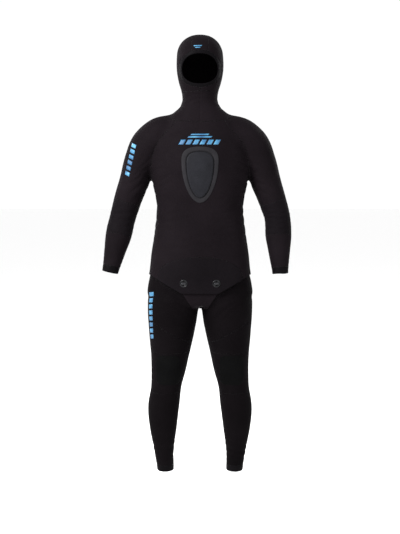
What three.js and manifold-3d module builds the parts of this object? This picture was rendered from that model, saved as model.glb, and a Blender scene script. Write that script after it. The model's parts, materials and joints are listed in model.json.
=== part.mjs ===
// A full two-piece wetsuit for freediving, in the shape that it takes on an adult wearer:
// a hooded pullover jacket with a tail that passes between the legs and locks at the front
// with two turn buttons, over high-waisted trousers.
// Millimetres, +Z up, the front of the suit faces -Y, and the wearer's right side is -X.
import * as THREE from "three";
import { mergeVertices } from "three/addons/utils/BufferGeometryUtils.js";
import Module from "manifold-3d";

const wasm = await Module();
wasm.setup();

// ---------------------------------------------------------------- driving dimensions
const HEIGHT_GRADE = 1; // garment grading: every height is multiplied by this
const GIRTH_GRADE = 1; // and every width and depth by this
const JACKET_THICKNESS = 5;
const TROUSER_THICKNESS = 5;
const TAIL_THICKNESS = 5;
const SEAM_GAP = 0.3; // between two panels that are sewn edge to edge
const LAYER_GAP = 0.6; // between the trousers and what lies over them
const HEM_BULGE = 1; // how far a folded cuff stands out from its sleeve or leg

const height = (mm) => mm * HEIGHT_GRADE;
const girth = (mm) => mm * GIRTH_GRADE;

// Heights above the ground that the wearer stands on.
const CROWN = height(1808);
const FACE_CENTRE = height(1672);
const FACE_HALF_HEIGHT = height(56);
const FACE_HALF_WIDTH = girth(70);
const FACE_SEAL_WIDTH = 9;
const CROWN_STRIP_HALF_WIDTH = girth(30);
const COLLAR_TOP = height(1592);
const NECKLINE = height(1512); // at the sides of the neck
const NECKLINE_SLOPE = 0.4; // it drops towards the chest by this much per mm
const ARMPIT = height(1258);
const WAIST_TOP = height(1120); // upper edge of the trousers, under the jacket
const WAISTBAND_DEPTH = 26;
const ARCH_RISE = height(70); // the stomach panel's curved seam, above the side hem
const ARCH_HALF_WIDTH = girth(160);
const HEM_SIDE = height(905);
const HEM_SIDE_HALF_WIDTH = girth(186);
const HEM_FRONT = height(838); // the straight lower edge of the front tab
const HEM_FRONT_HALF_WIDTH = girth(70);
const CROTCH = height(788);
const TAIL_TOP = height(896); // where the tail ends, under the front tab
const TAIL_BOTTOM = height(772);
const TAIL_HALF_WIDTH = girth(66);
const TAIL_NECK_HALF_WIDTH = girth(25);
const HIP_AXIS = height(870);
const KNEE_AXIS = height(520);
const KNEE_PANEL_HALF = height(80);
const KNEE_PAD_TOP = height(594);
const KNEE_PAD_BOTTOM = height(474);
const KNEE_PAD_HALF_WIDTH = girth(48);
const KNEE_PAD_THICKNESS = 1.2;
const ANKLE_END = height(122);
const ANKLE_CUFF_LENGTH = 24;
const GROIN_PANEL_LENGTH = height(150);
const SIDE_PANEL_HALF_WIDTH = 40;
const SIDE_PANEL_CENTRE = 8; // behind the wearer's middle plane

// The chest pad that a spear gun's butt is braced against while it is loaded.
const PAD_TOP = height(1386);
const PAD_BOTTOM = height(1178);
const PAD_HALF_WIDTH = girth(69);
const PAD_BORDER = 17; // width of the thin border round the cushion
const PAD_BORDER_THICKNESS = 2;
const PAD_CUSHION_THICKNESS = 8;

// The two turn buttons. Heights along their axis are counted from the trousers' surface.
const BUTTON_HEIGHT = height(876);
const BUTTON_SPACING = girth(120);
const BUTTON_PLATE_RADIUS = 14;
const BUTTON_PLATE_THICKNESS = 1.5;
const EYELET_RADIUS = 14.5;
const EYELET_FLANGE = 2;
const EYELET_NECK_RADIUS = 11;
const EYELET_SLOT = { halfLength: 9.6, halfWidth: 4.6 };
const EYELET_RING_THICKNESS = 1.2;
const CLAMPED_TAB_THICKNESS = 4; // between an eyelet's flange and its ring
const KNOB = { halfLength: 9, halfWidth: 4, thickness: 4 };
const PIN_RADIUS = 2.2;
const PIN_CLEARANCE = 0.08; // the knob turns on the pin
const PIN_HEAD = { radius: 3.4, thickness: 1.2 };

// Everything between the trousers and the front tab, from the inside out.
const FRONT_STANDOFF =
  LAYER_GAP + TAIL_THICKNESS + BUTTON_PLATE_THICKNESS + EYELET_RING_THICKNESS + 3 * SEAM_GAP;

// The lower arms hang at different angles from the vertical, in degrees.
const FOREARM_SPREAD = { right: 12.5, left: 2.5 };

// The part's origin is where the neck leaves the jacket, the place the wearer's neck holds.
const ORIGIN_HEIGHT = height(1510);

// ---------------------------------------------------------------- materials
const fabric = (color, roughness = 0.85) =>
  new THREE.MeshStandardMaterial({ color, roughness, metalness: 0 });
const NEOPRENE = fabric(0x17151a);
const STRETCH = fabric(0x131216);
const SMOOTH_SKIN = fabric(0x0c0c0e, 0.5);
const KNEE_PRINT = fabric(0x101013, 0.6);
const PAD_RUBBER = fabric(0x2a2b31, 0.7);
const PLASTIC = fabric(0x0a0a0b, 0.35);
const KNOB_GREY = fabric(0x8d8f94, 0.35);

// ---------------------------------------------------------------- solids
const FAR = 6000; // larger than any suit

// A closed three.js geometry as a solid that can be joined and cut.
function solid(geometry) {
  const bare = geometry.clone();
  for (const name of Object.keys(bare.attributes)) if (name !== "position") bare.deleteAttribute(name);
  const merged = mergeVertices(bare, 1e-3);
  return new wasm.Manifold(
    new wasm.Mesh({
      numProp: 3,
      vertProperties: new Float32Array(merged.attributes.position.array),
      triVerts: new Uint32Array(merged.index.array),
    }),
  );
}

// Everything on the far side of the plane through point, the way that direction points.
function beyond(point, direction) {
  const block = new THREE.BoxGeometry(FAR, FAR, FAR).translate(0, 0, FAR / 2);
  const turn = new THREE.Quaternion().setFromUnitVectors(new THREE.Vector3(0, 0, 1), direction);
  return solid(block.applyQuaternion(turn).translate(point.x, point.y, point.z));
}

// Cuts a shell at a plane and leaves a seam's gap there: [the near side, the far side].
function cutAt(shell, point, direction) {
  const step = direction.clone().multiplyScalar(SEAM_GAP / 2);
  return [
    shell.subtract(beyond(point.clone().sub(step), direction)),
    shell.intersect(beyond(point.clone().add(step), direction)),
  ];
}

// Parts a shell along the outline of a region: [inside, outside]. region(grow) is the region
// with its outline moved outwards by grow.
function partAlong(shell, region) {
  return [shell.intersect(region(-SEAM_GAP / 2)), shell.subtract(region(SEAM_GAP / 2))];
}

// A shape drawn in X and Z, run through the suit from front to back.
function prism(shape, yFrom = -FAR / 2, yTo = FAR / 2) {
  const geometry = new THREE.ExtrudeGeometry(shape, {
    depth: yTo - yFrom,
    bevelEnabled: false,
    curveSegments: 6,
  });
  return solid(geometry.rotateX(Math.PI / 2).translate(0, yTo, 0));
}

function box(x, y, z) {
  const geometry = new THREE.BoxGeometry(x[1] - x[0], y[1] - y[0], z[1] - z[0]);
  return solid(
    geometry.translate((x[0] + x[1]) / 2, (y[0] + y[1]) / 2, (z[0] + z[1]) / 2),
  );
}

// ---------------------------------------------------------------- lofts
// A point of a section: size holds its half width, its depth to the front and to the back.
function sectionPoint(size, angle, squareness) {
  const power = 2 / squareness;
  const across = Math.cos(angle);
  const along = Math.sin(angle);
  const depth = along < 0 ? size.y : size.z;
  return [
    Math.sign(across) * Math.abs(across) ** power * size.x,
    Math.sign(along) * Math.abs(along) ** power * depth,
  ];
}

// The point of a section at an angle round it.
function ringPoint({ centre, size, side, depth }, angle, squareness) {
  const [x, y] = sectionPoint(size, angle, squareness);
  return centre.clone().addScaledVector(side, x).addScaledVector(depth, y);
}

function indexed(positions, index) {
  const geometry = new THREE.BufferGeometry();
  geometry.setAttribute("position", new THREE.Float32BufferAttribute(positions, 3));
  return geometry.setIndex(index);
}

// A closed solid through sections, each {centre, size, side, depth}, with flat ends.
function loft(sections, around, squareness) {
  const positions = [];
  const index = [];
  for (const section of sections) {
    for (let i = 0; i < around; i++) {
      positions.push(...ringPoint(section, (2 * Math.PI * i) / around, squareness).toArray());
    }
  }
  for (let ring = 0; ring + 1 < sections.length; ring++) {
    for (let i = 0; i < around; i++) {
      const a = ring * around + i;
      const b = ring * around + ((i + 1) % around);
      index.push(a, b, b + around, a, b + around, a + around);
    }
  }
  const last = sections.length - 1;
  const firstCentre = sections.length * around;
  positions.push(...sections[0].centre.toArray(), ...sections[last].centre.toArray());
  for (let i = 0; i < around; i++) {
    const next = (i + 1) % around;
    index.push(firstCentre, next, i);
    index.push(firstCentre + 1, last * around + i, last * around + next);
  }
  return solid(indexed(positions, index));
}

// Two matching curves, one through the centres of a body's sections and one through their sizes.
function profile(stations) {
  return {
    path: new THREE.CatmullRomCurve3(stations.map((s) => s.centre)),
    sizes: new THREE.CatmullRomCurve3(stations.map((s) => s.size)),
    spans: stations.length - 1,
  };
}

const X = new THREE.Vector3(1, 0, 0);
const Y = new THREE.Vector3(0, 1, 0);
const Z = new THREE.Vector3(0, 0, 1);

// The section of a profile at a share of its length, with its size grown by offset.
function sectionAt({ path, sizes }, share, offset, upright) {
  const centre = path.getPoint(share);
  const size = sizes.getPoint(share).addScalar(offset);
  if (upright) return { centre, size, side: X, depth: Y };
  const along = path.getTangent(share);
  const side = Y.clone().cross(along).normalize();
  return { centre, size, side, depth: along.clone().cross(side) };
}

// The sections of a profile between two stations, which are counted from its start.
function sectionsOf(shape, { from = 0, to = shape.spans, offset = 0, upright = true }) {
  const stations = [from];
  for (let i = Math.floor(from) + 1; i < to - 1e-6; i++) stations.push(i);
  stations.push(to);
  return stations.map((i) => sectionAt(shape, i / shape.spans, offset, upright));
}

// A section moved along its body's axis.
function slid(section, by) {
  const along = section.side.clone().cross(section.depth);
  return { ...section, centre: section.centre.clone().addScaledVector(along, by) };
}

// A profile as a solid. startBy and endBy lengthen it past its two ends, or shorten it.
function body(shape, { startBy = 0, endBy = 0, around, squareness = 2, ...range }) {
  const sections = sectionsOf(shape, range);
  const last = sections.length - 1;
  if (startBy < 0) sections[0] = slid(sections[0], -startBy);
  if (endBy < 0) sections[last] = slid(sections[last], endBy);
  if (endBy > 0) sections.push(slid(sections[last], endBy));
  if (startBy > 0) sections.unshift(slid(sections[0], -startBy));
  return loft(sections, around, squareness);
}

// An open tube of a profile's wall between two stations, less half a seam's gap at each end.
function tube(shape, { from, to, outer = 0, inner, around, upright = true, squareness = 2 }) {
  const wall = (offset) => {
    const sections = sectionsOf(shape, { from, to, offset, upright });
    const last = sections.length - 1;
    if (from > 0) sections[0] = slid(sections[0], SEAM_GAP / 2);
    if (to < shape.spans) sections[last] = slid(sections[last], -SEAM_GAP / 2);
    return sections;
  };
  const rings = [...wall(outer), ...wall(inner).reverse()];
  const positions = [];
  const index = [];
  rings.forEach((section, ring) => {
    const nextRing = (ring + 1) % rings.length;
    for (let i = 0; i < around; i++) {
      positions.push(...ringPoint(section, (2 * Math.PI * i) / around, squareness).toArray());
      const j = (i + 1) % around;
      const a = ring * around;
      const b = nextRing * around;
      index.push(a + i, a + j, b + j, a + i, b + j, b + i);
    }
  });
  return solid(indexed(positions, index));
}

// The station at which an upright profile reaches a height.
function stationAt({ path, spans }, z) {
  let low = 0;
  let high = 1;
  for (let i = 0; i < 40; i++) {
    const middle = (low + high) / 2;
    if (path.getPoint(middle).z < z) low = middle;
    else high = middle;
  }
  return low * spans;
}

// A station of an upright body: its height, its half width, and its depth front and back.
const upright = (z, half, front, back, x = 0, y = 0) => ({
  centre: new THREE.Vector3(girth(x), girth(y), height(z)),
  size: new THREE.Vector3(girth(half), girth(front), girth(back)),
});

// ---------------------------------------------------------------- the wearer's shape
// The trousers' outer surface round the hips, below the jacket's side hem.
const HIPS = [
  upright(788, 188, 88, 104),
  upright(822, 203, 102, 121),
  upright(864, 200, 104, 123),
  upright(905, 191, 104, 121),
];

// The jacket's outer surface from the side hem to the crown of the hood.
const TORSO = [
  upright(980, 188, 117, 112),
  upright(1070, 174, 113, 101),
  upright(1163, 166, 112, 102),
  upright(1255, 182, 120, 115),
  upright(1330, 188, 123, 123),
  upright(1400, 180, 110, 119),
  upright(1450, 162, 92, 108),
  upright(1488, 138, 79, 95),
  upright(1514, 106, 70, 85),
  upright(1534, 81, 65, 77),
  upright(1556, 69, 65, 74),
  upright(1592, 69, 78, 73),
  upright(1630, 80, 97, 83),
  upright(1675, 88, 105, 98),
  upright(1722, 88, 103, 103),
  upright(1762, 77, 88, 94),
  upright(1791, 51, 59, 65),
];

const JACKET_OVER_HIPS = new THREE.Vector3(
  LAYER_GAP + JACKET_THICKNESS,
  FRONT_STANDOFF + JACKET_THICKNESS,
  LAYER_GAP + JACKET_THICKNESS,
);
const overHips = HIPS.slice(1).map(({ centre, size }) => ({
  centre,
  size: size.clone().add(JACKET_OVER_HIPS),
}));
const crownStation = upright(1808, 12, 14, 18);
const TRUNK = profile([...overHips, ...TORSO, crownStation]);

// The trousers follow the jacket's inside up to the waist, one layer further in.
const underJacket = ({ centre, size }) => ({
  centre,
  size: size.clone().subScalar(JACKET_THICKNESS + LAYER_GAP),
});
const waistStation = { centre: new THREE.Vector3(0, 0, WAIST_TOP), size: TORSO[1].size.clone().lerp(TORSO[2].size, 0.54) };
const PELVIS = profile([...HIPS, underJacket(TORSO[0]), underJacket(TORSO[1]), underJacket(waistStation)]);

// A leg, from the ankle up to inside the hips. side is -1 for the wearer's right.
const leg = (side) =>
  profile([
    upright(122, 33, 38, 46, side * 137, 10),
    upright(193, 38, 42, 50, side * 142, 8),
    upright(290, 53, 50, 66, side * 145, 6),
    upright(386, 62, 56, 72, side * 142, 4),
    upright(460, 60, 58, 62, side * 132, 0),
    upright(520, 67, 64, 62, side * 123, -2),
    upright(578, 74, 72, 70, side * 117, -2),
    upright(673, 88, 86, 88, side * 110, 0),
    upright(767, 99, 96, 108, side * 104, 0),
    upright(806, 101, 99, 113, side * 101, 0),
    upright(856, 90, 84, 100, side * 98, 0),
  ]);

// A sleeve, from inside the neck out over the shoulder and down to the wrist.
const ELBOW = { x: girth(300), y: girth(16), z: height(1116) };
const FOREARM_LENGTH = height(210);
const ELBOW_PANEL = { from: 5.08, to: 6.98 }; // stations of the sleeve's profile
const WRIST_CUFF_FROM = 8.7;
const limb = (side, x, y, z, half, front, back) => ({
  centre: new THREE.Vector3(side * x, y, z),
  size: new THREE.Vector3(girth(half), girth(front), girth(back)),
});
function sleeve(side, spread) {
  const tilt = THREE.MathUtils.degToRad(spread);
  const below = (share, half, front, back) =>
    limb(
      side,
      ELBOW.x + Math.sin(tilt) * FOREARM_LENGTH * share,
      ELBOW.y - girth(42) * share,
      ELBOW.z - Math.cos(tilt) * FOREARM_LENGTH * share,
      half,
      front,
      back,
    );
  const above = (x, y, z, half, front, back) => limb(side, girth(x), girth(y), height(z), half, front, back);
  return profile([
    above(84, 6, 1452, 64, 64, 70),
    above(146, 6, 1428, 76, 74, 82),
    above(193, 8, 1396, 71, 74, 80),
    above(226, 10, 1336, 64, 66, 70),
    above(254, 12, 1256, 57, 60, 62),
    above(279, 14, 1186, 53, 54, 56),
    limb(side, ELBOW.x, ELBOW.y, ELBOW.z, 50, 50, 52),
    below(0.32, 50, 48, 50),
    below(0.66, 40, 40, 40),
    below(1, 31, 30, 30),
  ]);
}

// ---------------------------------------------------------------- outlines in X and Z
const polygon = (points) => new THREE.Shape(points.map(([x, z]) => new THREE.Vector2(x, z)));

// The face opening: an oval that is a little squarer than an ellipse.
function faceShape(grow) {
  const points = [];
  const count = 24;
  const size = new THREE.Vector3(FACE_HALF_WIDTH, FACE_HALF_HEIGHT, FACE_HALF_HEIGHT).addScalar(grow);
  for (let i = 0; i < count; i++) {
    const [x, z] = sectionPoint(size, (2 * Math.PI * i) / count, 2.25);
    points.push([x, FACE_CENTRE + z]);
  }
  return polygon(points);
}

// Everything above the jacket's lower edge.
function aboveHem(grow = 0) {
  return polygon([
    [-FAR / 2, HEM_SIDE - grow],
    [-HEM_SIDE_HALF_WIDTH, HEM_SIDE - grow],
    [-HEM_FRONT_HALF_WIDTH, HEM_FRONT - grow],
    [HEM_FRONT_HALF_WIDTH, HEM_FRONT - grow],
    [HEM_SIDE_HALF_WIDTH, HEM_SIDE - grow],
    [FAR / 2, HEM_SIDE - grow],
    [FAR / 2, FAR],
    [-FAR / 2, FAR],
  ]);
}

// The stomach panel: everything under an arch that stands on the side hem.
function archShape(grow) {
  const shape = new THREE.Shape();
  const half = ARCH_HALF_WIDTH + grow;
  shape.moveTo(-half, height(700));
  shape.lineTo(half, height(700));
  shape.lineTo(half, HEM_SIDE);
  shape.absellipse(0, HEM_SIDE, half, ARCH_RISE + grow, 0, Math.PI);
  return shape;
}

// The chest pad: a shield with a rounded top and a long narrow foot.
function shieldShape(inset) {
  const half = PAD_HALF_WIDTH - inset;
  const top = PAD_TOP - inset;
  const bottom = PAD_BOTTOM + inset;
  const widest = top - (top - bottom) * 0.24;
  const shape = new THREE.Shape();
  shape.moveTo(0, top);
  shape.bezierCurveTo(half * 0.8, top, half, top - (top - widest) * 0.4, half, widest);
  shape.bezierCurveTo(half, bottom + (widest - bottom) * 0.45, half * 0.5, bottom, 0, bottom);
  shape.bezierCurveTo(-half * 0.5, bottom, -half, bottom + (widest - bottom) * 0.45, -half, widest);
  shape.bezierCurveTo(-half, top - (top - widest) * 0.4, -half * 0.8, top, 0, top);
  return shape;
}

// The outer side of the raglan seam, which runs from the neck to the armpit.
function raglanRegion(side) {
  const seam = new THREE.SplineCurve(
    [
      [82, 1560],
      [83, 1512],
      [104, 1462],
      [152, 1415],
      [178, 1368],
      [183, 1312],
      [184, 1274],
      [188, 1256],
      [198, 1180],
      [232, 1000],
    ].map(([x, z]) => new THREE.Vector2(girth(x), height(z))),
  );
  return (grow) => {
    const line = seam.getPoints(14).map((p) => [side * (p.x - grow), p.y]);
    const outside = side * girth(700);
    const outline = [...line, [outside, line[line.length - 1][1]], [outside, line[0][1]]];
    return prism(polygon(outline));
  };
}

// ---------------------------------------------------------------- jacket and hood
const TRUNK_LOFT = { around: 22, squareness: 2.3 };
const SLEEVE_LOFT = { around: 14, upright: false };
const LEG_LOFT = { around: 16 };
const SIDES = { right: -1, left: 1 };

const sleeves = Object.fromEntries(
  Object.entries(SIDES).map(([name, side]) => [name, sleeve(side, FOREARM_SPREAD[name])]),
);
const legs = Object.fromEntries(Object.entries(SIDES).map(([name, side]) => [name, leg(side)]));

const trunkAt = (offset, ends) => body(TRUNK, { ...TRUNK_LOFT, offset, ...ends });

function jacketShell() {
  const inward = -JACKET_THICKNESS;
  let outer = trunkAt(0);
  let inner = trunkAt(inward, { startBy: 10, endBy: inward });
  for (const shape of Object.values(sleeves)) {
    const upper = { ...SLEEVE_LOFT, to: ELBOW_PANEL.from };
    outer = outer.add(body(shape, { ...upper, endBy: -SEAM_GAP / 2 }));
    inner = inner.add(body(shape, { ...upper, offset: inward, endBy: 10 }));
  }
  const shell = outer.subtract(inner).intersect(prism(aboveHem()));
  return shell.subtract(prism(faceShape(0), -FAR / 2, 0));
}

const parts = {};

// The collar and the hood above the sloping neckline.
const necklinePoint = new THREE.Vector3(0, 0, NECKLINE);
const necklineNormal = new THREE.Vector3(0, -NECKLINE_SLOPE, 1).normalize();
const [belowNeckline, aboveNeckline] = cutAt(jacketShell(), necklinePoint, necklineNormal);
const [collar, hood] = cutAt(aboveNeckline, new THREE.Vector3(0, 0, COLLAR_TOP), Z);
parts.neck_collar = [collar, NEOPRENE];
const faceSealRegion = (grow) => prism(faceShape(FACE_SEAL_WIDTH + grow), -FAR / 2, -10);
const sealAndHood = partAlong(hood, faceSealRegion);
parts.face_seal = [sealAndHood[0], SMOOTH_SKIN];
function crownStripRegion(grow) {
  const half = CROWN_STRIP_HALF_WIDTH + grow;
  const overFace = box([-half, half], [-FAR, 1], [FACE_CENTRE, FAR]);
  return overFace.add(box([-half, half], [0, FAR], [0, FAR]));
}
const [crownStrip, hoodSides] = partAlong(sealAndHood[1], crownStripRegion);
parts.hood_crown_strip = [crownStrip, NEOPRENE];
const [hoodRight, hoodLeft] = cutAt(hoodSides, new THREE.Vector3(), X);
parts.hood_right_panel = [hoodRight, NEOPRENE];
parts.hood_left_panel = [hoodLeft, NEOPRENE];

// The torso: raglan sleeves, side panels below the armpits, then the front and the back.
let torso = belowNeckline;
const sleeveShells = {};
for (const [name, side] of Object.entries(SIDES)) {
  [sleeveShells[name], torso] = partAlong(torso, raglanRegion(side));
}
for (const [name, side] of Object.entries(SIDES)) {
  const region = (grow) => {
    const x = [side * girth(110), side * girth(400)].sort((a, b) => a - b);
    const y = [-SIDE_PANEL_HALF_WIDTH - grow, SIDE_PANEL_HALF_WIDTH + grow];
    return box(x, y.map((v) => v + SIDE_PANEL_CENTRE), [0, ARMPIT - 8 + grow]);
  };
  const [panel, rest] = partAlong(torso, region);
  parts[`${name}_side_panel`] = [panel, STRETCH];
  torso = rest;
}
const [torsoFront, torsoBack] = cutAt(torso, new THREE.Vector3(0, SIDE_PANEL_CENTRE, 0), Y);
parts.back_panel = [torsoBack, NEOPRENE];
const [stomach, chest] = partAlong(torsoFront, (grow) => prism(archShape(grow)));
parts.chest_panel = [chest, NEOPRENE];

// The chest pad's border and cushion are layers of the trunk's own surface.
function trunkLayer(from, to, shape) {
  return trunkAt(to).subtract(trunkAt(from)).intersect(prism(shape, -FAR / 2, 0));
}
const borderTop = SEAM_GAP + PAD_BORDER_THICKNESS;
parts.chest_pad_border = [
  trunkLayer(SEAM_GAP, borderTop, shieldShape(0)).subtract(
    prism(shieldShape(PAD_BORDER), -FAR / 2, 0),
  ),
  PAD_RUBBER,
];
parts.chest_pad_cushion = [
  trunkLayer(SEAM_GAP, PAD_CUSHION_THICKNESS, shieldShape(PAD_BORDER + SEAM_GAP)),
  PAD_RUBBER,
];

// Each sleeve: the raglan part, the elbow that stretches, the forearm and a folded cuff.
for (const name of Object.keys(SIDES)) {
  const wall = { ...SLEEVE_LOFT, inner: -JACKET_THICKNESS };
  const piece = (from, to, outer = 0) => tube(sleeves[name], { ...wall, from, to, outer });
  const end = sleeves[name].spans;
  parts[`${name}_upper_sleeve`] = [sleeveShells[name], NEOPRENE];
  parts[`${name}_elbow_panel`] = [piece(ELBOW_PANEL.from, ELBOW_PANEL.to), STRETCH];
  parts[`${name}_forearm_sleeve`] = [piece(ELBOW_PANEL.to, WRIST_CUFF_FROM), NEOPRENE];
  parts[`${name}_wrist_cuff`] = [piece(WRIST_CUFF_FROM, end, HEM_BULGE), SMOOTH_SKIN];
}

// ---------------------------------------------------------------- trousers and tail
// The hips and both thighs, grown by offset. Their lower ends are left open by openBy.
function hipsAndThighs(offset, openBy = 0) {
  let whole = body(PELVIS, { ...TRUNK_LOFT, offset, startBy: offset, endBy: openBy });
  for (const shape of Object.values(legs)) {
    const from = stationAt(shape, KNEE_AXIS + KNEE_PANEL_HALF);
    whole = whole.add(body(shape, { ...LEG_LOFT, offset, from, startBy: openBy || -SEAM_GAP / 2 }));
  }
  return whole;
}
const trousers = hipsAndThighs(0).subtract(hipsAndThighs(-TROUSER_THICKNESS, 10));

const [belowBand, waistband] = cutAt(trousers, new THREE.Vector3(0, 0, WAIST_TOP - WAISTBAND_DEPTH), Z);
parts.trouser_waistband = [waistband, STRETCH];

// The thin printed pad on the front of a knee panel, which runs between two stations.
function kneePad(shape, from, to) {
  const centre = shape.path.getPoint(stationAt(shape, KNEE_AXIS) / shape.spans);
  const across = [centre.x - KNEE_PAD_HALF_WIDTH, centre.x + KNEE_PAD_HALF_WIDTH];
  const inner = SEAM_GAP;
  return tube(shape, { ...LEG_LOFT, from, to, inner, outer: inner + KNEE_PAD_THICKNESS }).intersect(
    box(across, [-FAR, centre.y - girth(12)], [KNEE_PAD_BOTTOM, KNEE_PAD_TOP]),
  );
}

// The groin seam runs parallel to the jacket's slanting hem, from the crotch to the hip.
const hemRise = (HEM_SIDE - HEM_FRONT) / (HEM_SIDE_HALF_WIDTH - HEM_FRONT_HALF_WIDTH);
let pelvis = belowBand;
for (const [name, side] of Object.entries(SIDES)) {
  const crotch = new THREE.Vector3(0, 0, CROTCH);
  const down = new THREE.Vector3(side * hemRise, 0, -1).normalize();
  const half = box(side < 0 ? [-FAR, 0] : [0, FAR], [-FAR, FAR], [-FAR, FAR]);
  const legRegion = (grow) => beyond(crotch.clone().addScaledVector(down, -grow), down).intersect(half);
  const [thisLeg, rest] = partAlong(pelvis, legRegion);
  pelvis = rest;
  const groinEnd = crotch.clone().addScaledVector(down, GROIN_PANEL_LENGTH);
  const [groin, thigh] = cutAt(thisLeg, groinEnd, down);
  parts[`${name}_groin_panel`] = [groin, STRETCH];
  parts[`${name}_thigh_panel`] = [thigh, NEOPRENE];
  const shape = legs[name];
  const knee = stationAt(shape, KNEE_AXIS + KNEE_PANEL_HALF);
  const shin = stationAt(shape, KNEE_AXIS - KNEE_PANEL_HALF);
  const cuff = stationAt(shape, ANKLE_END + ANKLE_CUFF_LENGTH);
  const wall = { ...LEG_LOFT, inner: -TROUSER_THICKNESS };
  const piece = (from, to, outer = 0) => tube(shape, { ...wall, from, to, outer });
  parts[`${name}_knee_panel`] = [piece(shin, knee), STRETCH];
  parts[`${name}_knee_pad`] = [kneePad(shape, shin, knee), KNEE_PRINT];
  parts[`${name}_shin_panel`] = [piece(cuff, shin), NEOPRENE];
  parts[`${name}_ankle_cuff`] = [piece(0, cuff, HEM_BULGE), SMOOTH_SKIN];
}
const [pelvisFront, pelvisBack] = cutAt(pelvis, new THREE.Vector3(0, SIDE_PANEL_CENTRE, 0), Y);
parts.trouser_front = [pelvisFront, NEOPRENE];
parts.trouser_seat = [pelvisBack, NEOPRENE];

// The tail hugs the trousers from the back hem, between the legs, to under the front tab.
function tailSolid() {
  const layer = hipsAndThighs(LAYER_GAP + TAIL_THICKNESS).subtract(hipsAndThighs(LAYER_GAP));
  const narrow = [
    [-TAIL_NECK_HALF_WIDTH, TAIL_BOTTOM],
    [TAIL_NECK_HALF_WIDTH, TAIL_BOTTOM],
  ];
  const toTop = [
    [TAIL_HALF_WIDTH, HEM_FRONT],
    [TAIL_HALF_WIDTH, TAIL_TOP],
    [-TAIL_HALF_WIDTH, TAIL_TOP],
    [-TAIL_HALF_WIDTH, HEM_FRONT],
  ];
  const toHem = [
    [TAIL_HALF_WIDTH, HEM_FRONT - SEAM_GAP],
    [-TAIL_HALF_WIDTH, HEM_FRONT - SEAM_GAP],
  ];
  const front = prism(polygon([...narrow, ...toTop]), -FAR / 2, 0);
  const back = prism(polygon([...narrow, ...toHem]), -1, FAR / 2);
  return layer.intersect(front.add(back));
}

// ---------------------------------------------------------------- turn buttons
// Where a straight line from the front meets the trousers at a button, and its slope there.
function buttonSeat(side) {
  const at = (x) => {
    const section = sectionAt(PELVIS, stationAt(PELVIS, BUTTON_HEIGHT) / PELVIS.spans, 0, true);
    const across = x / section.size.x;
    return -section.size.y * (1 - Math.abs(across) ** 2.3) ** (1 / 2.3);
  };
  const x = (side * BUTTON_SPACING) / 2;
  const slope = (at(x + 1) - at(x - 1)) / 2;
  return { x, y: at(x), turn: Math.atan(slope) };
}

// A disc or tube about the button's axis, from one distance out to another.
function turned(radius, from, to, bore = 0) {
  const outline = [
    [bore, from],
    [radius, from],
    [radius, to],
    [bore, to],
    [bore, from],
  ].map(([r, h]) => new THREE.Vector2(r, h));
  return solid(new THREE.LatheGeometry(outline, 16));
}

// A round-ended bar across the button's axis. long is "x" or "z".
function bar({ halfLength, halfWidth }, from, to, long) {
  const straight = halfLength - halfWidth;
  const shape = new THREE.Shape();
  shape.absarc(straight, 0, halfWidth, -Math.PI / 2, Math.PI / 2);
  shape.absarc(-straight, 0, halfWidth, Math.PI / 2, (3 * Math.PI) / 2);
  const geometry = new THREE.ExtrudeGeometry(shape, { depth: to - from, bevelEnabled: false, curveSegments: 5 });
  geometry.rotateX(-Math.PI / 2).translate(0, from, 0);
  if (long === "z") geometry.rotateY(Math.PI / 2);
  return solid(geometry);
}

// The heights of a button's layers along its axis, from the trousers outwards.
const plateFrom = LAYER_GAP + TAIL_THICKNESS + SEAM_GAP;
const plateTo = plateFrom + BUTTON_PLATE_THICKNESS;
const ringFrom = plateTo + SEAM_GAP;
const ringTo = ringFrom + EYELET_RING_THICKNESS;
const flangeFrom = ringTo + 2 * SEAM_GAP + CLAMPED_TAB_THICKNESS;
const flangeTo = flangeFrom + EYELET_FLANGE;
const knobFrom = flangeTo + SEAM_GAP;
const knobTo = knobFrom + KNOB.thickness;
const pinHeadFrom = knobTo + SEAM_GAP;

function buttonParts() {
  const slot = bar(EYELET_SLOT, 0, flangeTo + 1, "z");
  const socket = turned(PIN_RADIUS + SEAM_GAP, plateTo - 0.7, plateTo + 1);
  const bore = turned(PIN_RADIUS + PIN_CLEARANCE, 0, knobTo + 1);
  return {
    button_plate: [turned(BUTTON_PLATE_RADIUS, plateFrom, plateTo).subtract(socket), PLASTIC],
    button_pin: [
      turned(PIN_RADIUS, plateTo - 0.4, pinHeadFrom + 0.2).add(
        turned(PIN_HEAD.radius, pinHeadFrom, pinHeadFrom + PIN_HEAD.thickness),
      ),
      KNOB_GREY,
    ],
    button_knob: [bar(KNOB, knobFrom, knobTo, "x").subtract(bore), KNOB_GREY],
    eyelet: [
      turned(EYELET_RADIUS, flangeFrom, flangeTo)
        .add(turned(EYELET_NECK_RADIUS, ringFrom + 0.2, flangeTo))
        .subtract(slot),
      PLASTIC,
    ],
    eyelet_ring: [turned(EYELET_RADIUS, ringFrom, ringTo, EYELET_NECK_RADIUS + SEAM_GAP), PLASTIC],
  };
}

// What an eyelet takes away from the tab: a hole for its neck, and the foam that its flange
// and its ring press flat.
function eyeletSeat() {
  const wide = EYELET_RADIUS + SEAM_GAP;
  return turned(EYELET_NECK_RADIUS + SEAM_GAP, -20, 60)
    .add(turned(wide, -20, ringTo + SEAM_GAP))
    .add(turned(wide, flangeFrom - SEAM_GAP, 60));
}

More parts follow.
